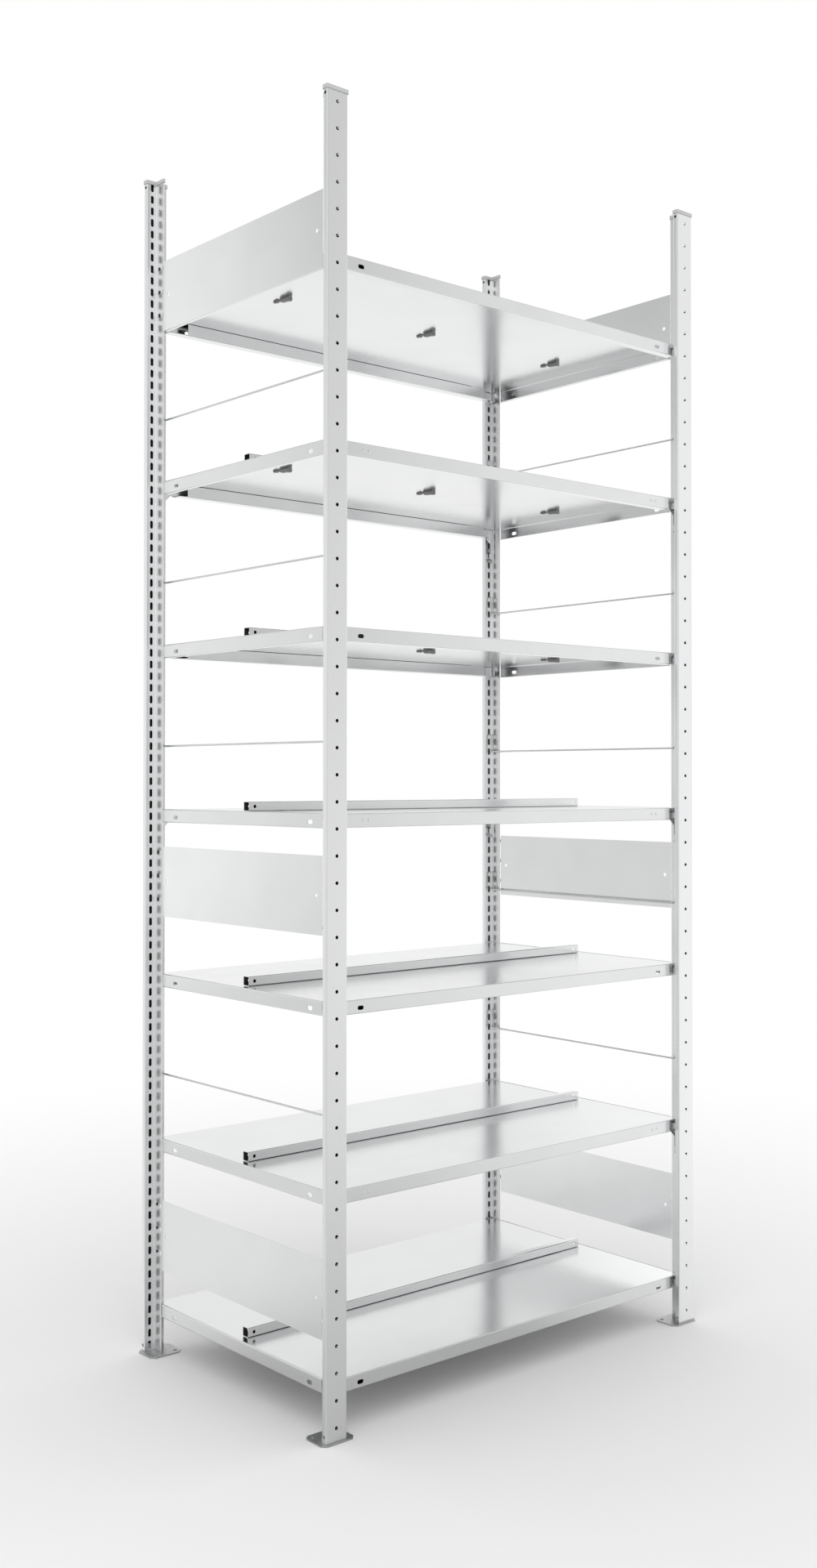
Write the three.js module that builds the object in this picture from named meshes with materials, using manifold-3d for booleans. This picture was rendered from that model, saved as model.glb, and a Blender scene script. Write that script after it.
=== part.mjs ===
// Boltless office shelving bay: four slotted T posts carry seven folded shelves that hang by hooks.
// Millimetres, Z up, front at negative Y, the floor at zero and the bay centred on X and Y.
import * as THREE from "three";
import Module from "manifold-3d";
import { mergeVertices } from "three/addons/utils/BufferGeometryUtils.js";

const wasm = await Module();
wasm.setup();

// Overall sizes
const postHeight = 2500;
const postPitch = 998;
const bayDepth = 641;
const slotPitch = 25;

// Gaps and cuts
const fit = 0.3;
const overrun = 1;

// Post section
const flangeWidth = 49;
const flangeDepth = 12.2;
const postWall = 1.8;
const bendChamfer = 1.4;
const webThickness = 3;
const webLength = 28.3;

// Post perforation
const slotWidth = 7;
const slotHeight = 17;
const slotOffset = 12;
const firstSlotHeight = 15.5;
const slotStep = 2;
const faceHoleDiameter = 7;
const endHoleInset = 25;
const faceHoleSides = 6;

// Foot plates
const footThickness = 3;
const footOuterReach = 33;
const footInnerReach = 43;
const footFrontReach = 5;
const footDepth = 62;
const footChamfer = 9;
const footTongueHeight = 14;
const anchorDiameter = 9;
const anchorSides = 6;
const anchorInset = 12;

// Post caps
const capTop = 3;
const capSkirt = 5;
const capWall = 1.2;

// Shelves
const firstShelfSlot = 3;
const shelfStepSlots = 14;
const hookBelowTop = 15;
const sheet = 1.2;
const lipHeight = 26.6;
const lipSetback = 19.7;
const returnWidth = 23;
const upstandGap = 2.2;
const upstandSetback = 75;
const plainLipSetback = 15;
const bracedLipSetback = 30.3;
const bracedReturnSetback = 41;
const sideLipOut = 0.3;
const sideLipSetback = 43.5;
const sideReturnWidth = 8;
const webClearance = 1.5;
const lipSlotSize = [14, 7];
const lipSlotSetback = 70.2;
const lipSlotDrop = 15;
const lipSlotSides = 6;

// Hooks that plug into the post slots
const hookThickness = 2.6;
const hookHeight = 13;
const hookNoseDrop = 3.6;
const hookNose = 2.4;
const hookRoot = 14;

// Corner brackets of the braced shelves
const bracketThickness = 2;
const bracketArm = 96;
const bracketStripWidth = 23;
const bracketDrop = 83;
const bracketGusset = 13;
const bracketChamfer = 8;
const bracketLowerHookSlots = 2;

// Stop rails
const railWidth = 16;
const railHeight = 20;
const railSetback = 16;
const plugRowShare = 0.81;
const plugNeckDepth = 9;
const plugWidth = 11;
const plugFront = 44;
const plugBack = 24;
const plugDrop = 9.6;

// Side panels
const panelThickness = 1.2;
const panelSetback = 43.5;
const panelDrop = 37.5;
const panelRise = 11.5;
const panelSlotSpan = 4;
const lowPanelSlot = 8;
const topPanelSlotsDown = 12;
const middlePanelShare = 0.375;
const panelHoleDiameter = 8;
const panelHoleInset = 17.5;
const panelHoleSides = 6;
const lugHeight = 13;
const lugJog = 8;

// Side wires
const wireDiameter = 4;
const wireSides = 5;
const wireRunSlots = 6;
const wireTipSlots = 8;
const wireStandoff = 6;
const wireLean = 3;
const wireBend = 6;

// Derived sizes
const postX = postPitch / 2;
const frontY = bayDepth / 2;
const flangeInnerY = frontY - flangeDepth;
const postBase = footThickness + fit;
const postTop = footThickness + postHeight;
const slotCount = Math.floor(postHeight / slotPitch);
const lipY = frontY - lipSetback;
const hookX = postX - slotOffset;
const hookTip = flangeInnerY + postWall + fit + hookNose;
const shelfRise = shelfStepSlots * slotPitch;
const slotZ = (index) => firstSlotHeight + index * slotPitch;
const shelfTopZ = (level) => slotZ(firstShelfSlot + level * shelfStepSlots) + hookBelowTop;
const levelCount = 1 + Math.floor((postTop - shelfTopZ(0)) / shelfRise);

const steel = new THREE.MeshStandardMaterial({ color: 0xd9dbdc, metalness: 0.8, roughness: 0.35 });
const capPlastic = new THREE.MeshStandardMaterial({ color: 0xc4c6c8, metalness: 0, roughness: 0.6 });

const corners = [
  { name: "front_left", x: -1, y: -1 },
  { name: "front_right", x: 1, y: -1 },
  { name: "rear_left", x: -1, y: 1 },
  { name: "rear_right", x: 1, y: 1 },
];
const sides = [
  { name: "left", x: -1, turn: 0 },
  { name: "right", x: 1, turn: Math.PI },
];

// A closed manifold solid from a three.js geometry
function toSolid(geometry) {
  const bare = geometry.clone();
  bare.deleteAttribute("normal");
  bare.deleteAttribute("uv");
  const merged = mergeVertices(bare);
  const mesh = new wasm.Mesh({
    numProp: 3,
    vertProperties: new Float32Array(merged.attributes.position.array),
    triVerts: new Uint32Array(merged.index.array),
  });
  return new wasm.Manifold(mesh);
}

// A named three.js mesh from a manifold solid
function toMesh(name, solid, material) {
  const data = solid.getMesh();
  const geometry = new THREE.BufferGeometry();
  geometry.setAttribute("position", new THREE.BufferAttribute(data.vertProperties, 3));
  geometry.setIndex(new THREE.BufferAttribute(data.triVerts, 1));
  geometry.computeVertexNormals();
  const mesh = new THREE.Mesh(geometry, material);
  mesh.name = name;
  return mesh;
}

// A prism of the outline between two stations along an axis. Outlines are [y, z] pairs along x,
// [x, z] pairs along y and [x, y] pairs along z.
function prism(axis, outline, from, to, holes = []) {
  const flip = axis === "y";
  const ring = (points) => points.map(([a, b]) => (flip ? new THREE.Vector2(b, a) : new THREE.Vector2(a, b)));
  const shape = new THREE.Shape(ring(outline));
  shape.holes = holes.map((hole) => new THREE.Path(ring(hole)));
  const geometry = new THREE.ExtrudeGeometry(shape, { depth: to - from, bevelEnabled: false });
  geometry.translate(0, 0, from);
  const [x, y, z] = [new THREE.Vector3(1, 0, 0), new THREE.Vector3(0, 1, 0), new THREE.Vector3(0, 0, 1)];
  const turns = { x: [y, z, x], y: [z, x, y], z: [x, y, z] };
  geometry.applyMatrix4(new THREE.Matrix4().makeBasis(...turns[axis]));
  return toSolid(geometry);
}

// A rectangle outline from two opposite corners
function rectangle(a0, b0, a1, b1) {
  return [[a0, b0], [a1, b0], [a1, b1], [a0, b1]];
}

// An outline of a round hole, or of a level oval when the width exceeds the height
function oval(centreA, centreB, width, height, count) {
  const straight = (width - height) / 2;
  const radius = height / 2;
  return Array.from({ length: count }, (_, index) => {
    const angle = (Math.PI * (2 * index + 1)) / count;
    const offset = Math.cos(angle) > 0 ? straight : -straight;
    return [centreA + offset + radius * Math.cos(angle), centreB + radius * Math.sin(angle)];
  });
}

// The T outline of the post grown by an offset, its front face at zero and its web toward plus y
function postOutline(grow, chamfer) {
  const half = flangeWidth / 2 + grow;
  const web = webThickness / 2 + grow;
  const back = flangeDepth + grow;
  const end = flangeDepth + webLength + grow;
  return [
    [-half + chamfer, -grow], [half - chamfer, -grow], [half, chamfer - grow], [half, back - chamfer],
    [half - chamfer, back], [web, back], [web, end], [-web, end], [-web, back],
    [-half + chamfer, back], [-half, back - chamfer], [-half, chamfer - grow],
  ];
}

// Folded and slotted T post. Each column keeps every second slot, so that the two columns of one
// post alternate: hooks and wires use the inward column, the panel lugs the outward one.
function postSolid(inward) {
  const inner = flangeWidth / 2 - postWall;
  const hollow = rectangle(-inner, postWall, inner, flangeDepth - postWall);
  let post = prism("z", postOutline(0, bendChamfer), postBase, postTop, [hollow]);
  const cuts = [];
  for (let index = 0; index < slotCount; index += 1) {
    const column = index % slotStep === firstShelfSlot % slotStep ? inward : -inward;
    const x = column * slotOffset;
    const z = slotZ(index);
    const slot = rectangle(x - slotWidth / 2, z - slotHeight / 2, x + slotWidth / 2, z + slotHeight / 2);
    cuts.push(prism("y", slot, flangeDepth - postWall - overrun, flangeDepth + overrun));
  }
  for (const z of [footThickness + endHoleInset, postTop - endHoleInset]) {
    const hole = oval(0, z, faceHoleDiameter, faceHoleDiameter, faceHoleSides);
    cuts.push(prism("y", hole, -overrun, postWall + overrun));
  }
  for (const cut of cuts) {
    post = post.subtract(cut);
  }
  return post;
}

// Foot plate with a tongue that stands in the hollow of the post and two anchor holes
function footSolid(inward) {
  const [outer, inner] = [-inward * footOuterReach, inward * footInnerReach];
  const [front, back] = [-footFrontReach, footDepth - footFrontReach];
  const cutX = inward * footChamfer;
  const plate = [
    [outer + cutX, front], [inner - cutX, front], [inner, front + footChamfer],
    [inner, back - footChamfer], [inner - cutX, back], [outer + cutX, back],
    [outer, back - footChamfer], [outer, front + footChamfer],
  ];
  const holes = [outer + inward * anchorInset, inner - inward * anchorInset].map((x) =>
    oval(x, back - anchorInset, anchorDiameter, anchorDiameter, anchorSides));
  const half = flangeWidth / 2 - postWall - fit;
  const tongue = rectangle(-half, postWall + fit, half, flangeDepth - postWall - fit);
  const upright = prism("z", tongue, footThickness - overrun, footThickness + footTongueHeight);
  return prism("z", plate, 0, footThickness, holes).add(upright);
}

// Post cap, a T shaped lid with a short skirt
function capSolid() {
  const lid = prism("z", postOutline(capWall + fit, 0), postTop - capSkirt, postTop + fit + capTop);
  const room = prism("z", postOutline(fit, 0), postTop - capSkirt - overrun, postTop + fit);
  return lid.subtract(room);
}

// Hook blade at negative y that reaches through a slot and drops behind its lower edge
function hookSolid(x, rootY, slotCentre, rise) {
  const seat = slotCentre - slotHeight / 2 + fit;
  const top = seat + hookHeight;
  const low = seat - hookNoseDrop;
  const noseY = -hookTip + hookNose;
  const neckY = -lipY + sheet;
  const root = rise > 0 ? [[neckY, top], [neckY, top + rise], [rootY, top + rise]] : [[rootY, top]];
  const profile = [
    [rootY, seat], [noseY, seat], [noseY, low], [-hookTip, low], [-hookTip, top], ...root,
  ];
  return prism("x", profile, x - hookThickness / 2, x + hookThickness / 2);
}

// Folded edge along the front of a shelf: lip, bottom return and inner upstand
function frontEdge(lipHalf, returnHalf, upstandHalf) {
  const bottom = -lipHeight;
  const back = -lipY + returnWidth;
  const lip = prism("x", rectangle(-lipY, bottom, -lipY + sheet, 0), -lipHalf, lipHalf);
  const foot = prism("x", rectangle(-lipY, bottom, back, bottom + sheet), -returnHalf, returnHalf);
  const upstand = rectangle(back - sheet, bottom, back, -sheet - upstandGap);
  return lip.add(foot).add(prism("x", upstand, -upstandHalf, upstandHalf));
}

// Folded edge along the left side of a shelf
function sideEdge() {
  const out = -postX + sideLipOut;
  const half = frontY - sideLipSetback;
  const bottom = -lipHeight;
  const profile = [
    [out, 0], [out, bottom], [out + sideReturnWidth, bottom], [out + sideReturnWidth, bottom + sheet],
    [out + sheet, bottom + sheet], [out + sheet, 0],
  ];
  return prism("y", profile, -half, half);
}

// The same solid again at the opposite side or sides
function bothSides(solid, direction) {
  return solid.add(solid.mirror(direction));
}

// Shelf folded from one sheet, its top face at zero
function shelfSolid(braced) {
  const side = postX - sideLipOut;
  const step = postX - webThickness / 2 - webClearance;
  const inset = frontY - sideLipSetback;
  const deck = [
    [-step, -lipY], [step, -lipY], [step, -inset], [side, -inset], [side, inset], [step, inset],
    [step, lipY], [-step, lipY], [-step, inset], [-side, inset], [-side, -inset], [-step, -inset],
  ];
  const [neckX, neckY] = [plugWidth / 2 + fit, plugNeckDepth / 2 + fit];
  let top = prism("z", deck, -sheet, 0);
  for (const x of plugRows()) {
    const hole = rectangle(x - neckX, -neckY, x + neckX, neckY);
    top = top.subtract(prism("z", hole, -sheet - overrun, overrun));
  }
  const lipHalf = postX - (braced ? bracedLipSetback : plainLipSetback);
  const returnHalf = postX - (braced ? bracedReturnSetback : plainLipSetback);
  let edge = frontEdge(lipHalf, returnHalf, postX - upstandSetback);
  if (!braced) {
    const slot = oval(-postX + lipSlotSetback, -lipSlotDrop, ...lipSlotSize, lipSlotSides);
    const cut = prism("y", slot, -lipY - overrun, -lipY + sheet + overrun);
    const rise = hookBelowTop + slotHeight / 2 - fit - hookHeight - sheet / 2;
    const hook = hookSolid(-hookX, -lipY + hookRoot, -hookBelowTop, rise);
    edge = edge.subtract(bothSides(cut, [1, 0, 0])).add(bothSides(hook, [1, 0, 0]));
  }
  return top.add(bothSides(edge, [0, 1, 0])).add(bothSides(sideEdge(), [1, 0, 0]));
}

// Corner bracket that carries a braced shelf and reaches down the post
function bracketSolid(inward) {
  const top = -sheet - fit;
  const low = -lipHeight + sheet + fit;
  const edge = webThickness / 2 + webClearance;
  const strip = edge + bracketStripWidth;
  const gusset = strip + bracketGusset;
  const outline = [
    [edge, top], [edge + bracketArm, top], [edge + bracketArm, low], [gusset, low],
    [strip, low - bracketGusset], [strip, bracketChamfer - bracketDrop],
    [strip - bracketChamfer, -bracketDrop], [edge, -bracketDrop],
  ].map(([x, z]) => [inward * x, z]);
  const plateY = -lipY + sheet + fit;
  let bracket = prism("y", outline, plateY, plateY + bracketThickness);
  for (const slots of [0, bracketLowerHookSlots]) {
    const centre = -hookBelowTop - slots * slotPitch;
    bracket = bracket.add(hookSolid(inward * slotOffset, plateY + overrun, centre, 0));
  }
  return bracket;
}

// Places of the rail plugs along a shelf
function plugRows() {
  const reach = plugRowShare * (postX - railSetback);
  return [-reach, 0, reach];
}

// Stop rail folded to a square tube, with wedge plugs that grip below the shelf
function railSolid() {
  const half = railWidth / 2;
  const inner = half - sheet;
  const [low, high] = [fit, fit + railHeight];
  const hollow = rectangle(-inner, low + sheet, inner, high - sheet);
  const end = postX - railSetback;
  const under = -sheet - fit;
  const [neck, neckTop] = [plugNeckDepth / 2, low + sheet / 2];
  const plug = [
    [-neck, neckTop], [-neck, under], [-plugFront, under], [-plugFront, under - plugDrop],
    [plugBack, under - overrun], [plugBack, under], [neck, under], [neck, neckTop],
  ];
  let rail = prism("x", rectangle(-half, low, half, high), -end, end, [hollow]);
  for (const x of plugRows()) {
    rail = rail.add(prism("x", plug, x - plugWidth / 2, x + plugWidth / 2));
  }
  return rail;
}

// Left side panel, its lowest lug slot at zero height and its face on the centre of the webs
function panelSolid() {
  const halfY = frontY - panelSetback;
  const [low, high] = [-panelDrop, panelSlotSpan * slotPitch + panelRise];
  const holeY = halfY - panelHoleInset;
  const middle = (low + high) / 2;
  const holes = [-holeY, holeY].map((y) =>
    oval(y, middle, panelHoleDiameter, panelHoleDiameter, panelHoleSides));
  const face = -sideLipOut - fit;
  const panel = prism("x", rectangle(-halfY, low, halfY, high), face - panelThickness, face, holes);
  const outer = -slotOffset - panelThickness / 2;
  const lug = [
    [face - panelThickness, halfY - lugJog], [face, halfY - lugJog],
    [outer + panelThickness, flangeInnerY - lugJog], [outer + panelThickness, hookTip],
    [outer, hookTip], [outer, flangeInnerY - lugJog],
  ];
  const seat = -slotHeight / 2 + fit;
  let lugs = prism("z", lug, seat, seat + lugHeight);
  for (let slots = slotStep; slots <= panelSlotSpan; slots += slotStep) {
    const z = seat + slots * slotPitch;
    lugs = lugs.add(prism("z", lug, z, z + lugHeight));
  }
  return panel.add(bothSides(lugs, [0, 1, 0]));
}

// Bent side wire, its run at zero height and its tips in the slots above
function wireSolid() {
  const radius = wireDiameter / 2;
  const tipZ = (wireTipSlots - wireRunSlots) * slotPitch - slotHeight / 2 + fit + radius;
  const legY = flangeInnerY - wireStandoff;
  const half = [
    [hookTip, tipZ], [legY, tipZ], [legY - wireLean, wireBend], [legY - wireLean - wireBend, 0],
  ];
  const line = [...half, ...half.map(([y, z]) => [-y, z]).reverse()];
  return toSolid(tubeGeometry(line, radius, wireSides));
}

// A closed tube in the YZ plane along a polyline, mitred at each bend
function tubeGeometry(line, radius, count) {
  const points = line.map(([y, z]) => new THREE.Vector3(0, y, z));
  const side = new THREE.Vector3(1, 0, 0);
  const positions = [];
  const stretch = (from, to) => to.clone().sub(from).normalize();
  points.forEach((point, index) => {
    const [before, after] = [points[index - 1], points[index + 1]];
    const arrive = before ? stretch(before, point) : stretch(point, after);
    const leave = after ? stretch(point, after) : arrive;
    const along = arrive.clone().add(leave).normalize();
    const up = new THREE.Vector3().crossVectors(along, side).divideScalar(along.dot(arrive));
    for (let corner = 0; corner < count; corner += 1) {
      const angle = (2 * Math.PI * corner) / count - Math.PI / 2;
      const offset = side.clone().multiplyScalar(radius * Math.cos(angle));
      offset.addScaledVector(up, radius * Math.sin(angle));
      positions.push(...point.clone().add(offset).toArray());
    }
  });
  const index = [];
  for (let ring = 0; ring < points.length - 1; ring += 1) {
    for (let corner = 0; corner < count; corner += 1) {
      const [a, b] = [ring * count + corner, ring * count + ((corner + 1) % count)];
      index.push(a, b, a + count, b, b + count, a + count);
    }
  }
  const last = (points.length - 1) * count;
  for (let corner = 1; corner < count - 1; corner += 1) {
    index.push(0, corner + 1, corner);
    index.push(last, last + corner, last + corner + 1);
  }
  const geometry = new THREE.BufferGeometry();
  geometry.setAttribute("position", new THREE.Float32BufferAttribute(positions, 3));
  geometry.setIndex(index);
  return geometry;
}

// Both hands of a corner piece, and the choice between them: rear pieces are turned front pieces
function handed(build) {
  const pair = new Map([[1, build(1)], [-1, build(-1)]]);
  return (corner) => pair.get(corner.x * corner.y);
}

function cornerTurn(corner) {
  return corner.y > 0 ? Math.PI : 0;
}

// Posts with their caps and foot plates, their panels and their wires, one group per side
function buildEndFrame(side, shapes) {
  const group = new THREE.Group();
  group.name = `end_frame_${side.name}`;
  for (const corner of corners.filter((entry) => entry.x === side.x)) {
    const stand = new THREE.Group();
    stand.name = `stand_${corner.name}`;
    stand.position.set(corner.x * postX, corner.y * frontY, 0);
    stand.rotation.z = cornerTurn(corner);
    stand.add(toMesh(`post_${corner.name}`, shapes.post(corner), steel));
    stand.add(toMesh(`foot_plate_${corner.name}`, shapes.foot(corner), steel));
    stand.add(toMesh(`post_cap_${corner.name}`, shapes.cap, capPlastic));
    group.add(stand);
  }
  const topPanelSlot = slotCount - topPanelSlotsDown;
  const rise = middlePanelShare * (topPanelSlot - lowPanelSlot);
  const middleSlot = lowPanelSlot + slotStep * Math.round(rise / slotStep);
  [["low", lowPanelSlot], ["middle", middleSlot], ["top", topPanelSlot]].forEach(([row, slot]) => {
    const panel = toMesh(`side_panel_${side.name}_${row}`, shapes.panel, steel);
    panel.position.set(side.x * postX, 0, slotZ(slot));
    panel.rotation.z = side.turn;
    group.add(panel);
  });
  for (let level = 0; level < levelCount - 1; level += 1) {
    const slot = firstShelfSlot + level * shelfStepSlots + wireRunSlots;
    const wire = toMesh(`side_wire_${side.name}_${level + 1}`, shapes.wire, steel);
    wire.position.set(side.x * hookX, 0, slotZ(slot));
    group.add(wire);
  }
  return group;
}

// One shelf with its stop rail, and its corner brackets where it is braced
function buildLevel(level, shapes) {
  const group = new THREE.Group();
  const braced = level % 2 === 1;
  group.name = `level_${level + 1}`;
  group.position.z = shelfTopZ(level);
  group.add(toMesh(`shelf_${level + 1}`, braced ? shapes.bracedShelf : shapes.plainShelf, steel));
  group.add(toMesh(`stop_rail_${level + 1}`, shapes.rail, steel));
  if (braced) {
    for (const corner of corners) {
      const bracket = toMesh(`bracket_${level + 1}_${corner.name}`, shapes.bracket(corner), steel);
      bracket.position.x = corner.x * postX;
      bracket.rotation.z = cornerTurn(corner);
      group.add(bracket);
    }
  }
  return group;
}

function buildBay() {
  const bay = new THREE.Group();
  bay.name = "office_shelving_bay";
  const shapes = {
    post: handed(postSolid),
    foot: handed(footSolid),
    bracket: handed(bracketSolid),
    cap: capSolid(),
    panel: panelSolid(),
    wire: wireSolid(),
    rail: railSolid(),
    plainShelf: shelfSolid(false),
    bracedShelf: shelfSolid(true),
  };
  for (const side of sides) {
    bay.add(buildEndFrame(side, shapes));
  }
  for (let level = 0; level < levelCount; level += 1) {
    bay.add(buildLevel(level, shapes));
  }
  return bay;
}

export default buildBay();
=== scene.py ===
"""Looks of the office shelving bay: folded and punched galvanised sheet in a pale studio.

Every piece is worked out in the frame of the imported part, in metres, with the front at negative Y.
"""

import logging
import math
from dataclasses import dataclass, field
from enum import Enum

import bpy
import numpy as np
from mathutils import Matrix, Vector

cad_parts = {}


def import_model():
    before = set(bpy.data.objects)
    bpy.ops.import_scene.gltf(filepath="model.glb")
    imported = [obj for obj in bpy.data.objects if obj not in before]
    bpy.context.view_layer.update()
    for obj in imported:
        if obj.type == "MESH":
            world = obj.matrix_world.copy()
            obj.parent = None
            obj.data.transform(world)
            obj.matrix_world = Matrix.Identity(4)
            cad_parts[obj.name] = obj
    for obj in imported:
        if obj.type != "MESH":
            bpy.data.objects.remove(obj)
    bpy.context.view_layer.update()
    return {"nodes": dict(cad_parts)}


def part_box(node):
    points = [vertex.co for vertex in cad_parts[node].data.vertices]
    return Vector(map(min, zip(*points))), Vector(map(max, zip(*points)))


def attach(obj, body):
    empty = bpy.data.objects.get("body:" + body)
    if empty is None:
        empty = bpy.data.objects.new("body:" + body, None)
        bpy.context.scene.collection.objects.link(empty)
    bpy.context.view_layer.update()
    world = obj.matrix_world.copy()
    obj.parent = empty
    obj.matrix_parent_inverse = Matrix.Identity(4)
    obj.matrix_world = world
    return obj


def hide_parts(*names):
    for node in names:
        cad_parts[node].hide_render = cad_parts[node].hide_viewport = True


log = logging.getLogger("shelving")

BODY = "root"
MM = 0.001
TURN = 2.0 * math.pi
SHARP = math.radians(32.0)
TINY = 1e-6
FLAT_COSINE = 0.8
WELD_DECIMALS = 7
LINE_DECIMALS = 8
SIGN_DECIMALS = 9
BEVEL_SEGMENTS = 2
CELL_PARTS = 7
ROUND_CELL_PARTS = 6
END_LENGTH_SHARE = 0.4
END_RADIUS_SHARE = 0.6
CLOUD_DETAIL = 3.0
CLOUD_RANGE = (0.3, 0.7)
LEVELS = range(1, 8)
WIRES = range(2, 7)

Feed = float | tuple | bpy.types.NodeSocket


class Slot(Enum):
    """Material slots."""

    STEEL = "galvanised_steel"
    WIRE = "steel_wire"
    PLASTIC = "cap_plastic"


class Side(Enum):
    """Ends of the bay, with the sign of their x."""

    LEFT = -1
    RIGHT = 1


class Row(Enum):
    """Rows of side panels."""

    LOW = "low"
    MIDDLE = "middle"
    TOP = "top"


class Axis(Enum):
    """World axis that a profile is carried along, with the order that puts its axes back."""

    X = (2, 0, 1)
    Y = (1, 2, 0)
    Z = (0, 1, 2)

    def stack(self, flat: np.ndarray, along: np.ndarray) -> np.ndarray:
        """Joins profile coordinates and stations to points in space.

        Profiles are (y, z) along X, (z, x) along Y and (x, y) along Z.

        Args:
            flat: Profile coordinates, one pair per row.
            along: Station of each row.

        Returns:
            One point per row.
        """
        return np.column_stack([flat, along])[:, list(self.value)]


@dataclass
class Shell:
    """A surface under construction.

    Attributes:
        points: Vertices, one per row.
        faces: Corner numbers, four per row.
        normals: Outward unit normals of the vertices.
        caps: End faces with any number of corners.
        inner: First and last of the faces on the inner skin.
    """

    points: np.ndarray
    faces: np.ndarray
    normals: np.ndarray
    caps: list[list[int]] = field(default_factory=list)
    inner: tuple[int, int] = (0, 0)

    def joined(self, *others: "Shell") -> "Shell":
        """Joins surfaces, without welding them.

        Args:
            others: The other surfaces.

        Returns:
            This surface and the others as one.
        """
        shells = [self, *others]
        starts = np.cumsum([0] + [len(shell.points) for shell in shells]).tolist()
        return Shell(
            np.vstack([shell.points for shell in shells]),
            np.vstack([shell.faces + start for shell, start in zip(shells, starts)]),
            np.vstack([shell.normals for shell in shells]),
            [
                [corner + start for corner in cap]
                for shell, start in zip(shells, starts)
                for cap in shell.caps
            ],
        )

    def welded(self) -> "Shell":
        """Returns the surface with vertices that share a place made one."""
        places = np.round(self.points, WELD_DECIMALS)
        _, first, back = np.unique(places, axis=0, return_index=True, return_inverse=True)
        return Shell(self.points[first], back.reshape(-1)[self.faces], self.normals[first])

    def used(self) -> "Shell":
        """Returns the surface without the vertices that no face uses."""
        kept, back = np.unique(self.faces, return_inverse=True)
        return Shell(self.points[kept], back.reshape(self.faces.shape), self.normals[kept])

    def thick(self, thickness: float) -> "Shell":
        """Gives the sheet its thickness.

        The inner skin is P - t N for each vertex P with outward normal N, and every edge that
        only one face uses gets one strip across the thickness.

        Args:
            thickness: Sheet thickness.

        Returns:
            The closed sheet.
        """
        count = len(self.points)
        edges = np.stack([self.faces, np.roll(self.faces, -1, axis=1)], axis=2).reshape(-1, 2)
        keys = np.sort(edges, axis=1)
        _, first, uses = np.unique(keys, axis=0, return_index=True, return_counts=True)
        rim = edges[first[uses == 1]]
        strips = np.column_stack([rim[:, 1], rim[:, 0], rim[:, 0] + count, rim[:, 1] + count])
        points = np.vstack([self.points, self.points - thickness * self.normals])
        faces = np.vstack([self.faces, self.faces[:, ::-1] + count, strips])
        skin = (len(self.faces), 2 * len(self.faces))
        return Shell(points, faces, np.vstack([self.normals, -self.normals]), inner=skin)

    def moved(
        self, offset: tuple[float, float, float] = (0.0, 0.0, 0.0), flips: tuple[int, int, int] = (1, 1, 1)
    ) -> "Shell":
        """Mirrors the surface on the axes marked -1, then moves it.

        Args:
            offset: Move after the mirrors.
            flips: 1 or -1 for each axis.

        Returns:
            The moved surface, still facing outward.
        """
        scale = np.array(flips, float)
        order = math.prod(flips)
        caps = [cap[::order] for cap in self.caps]
        points = self.points * scale + np.array(offset, float)
        return Shell(points, self.faces[:, ::order], self.normals * scale, caps, self.inner)


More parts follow.
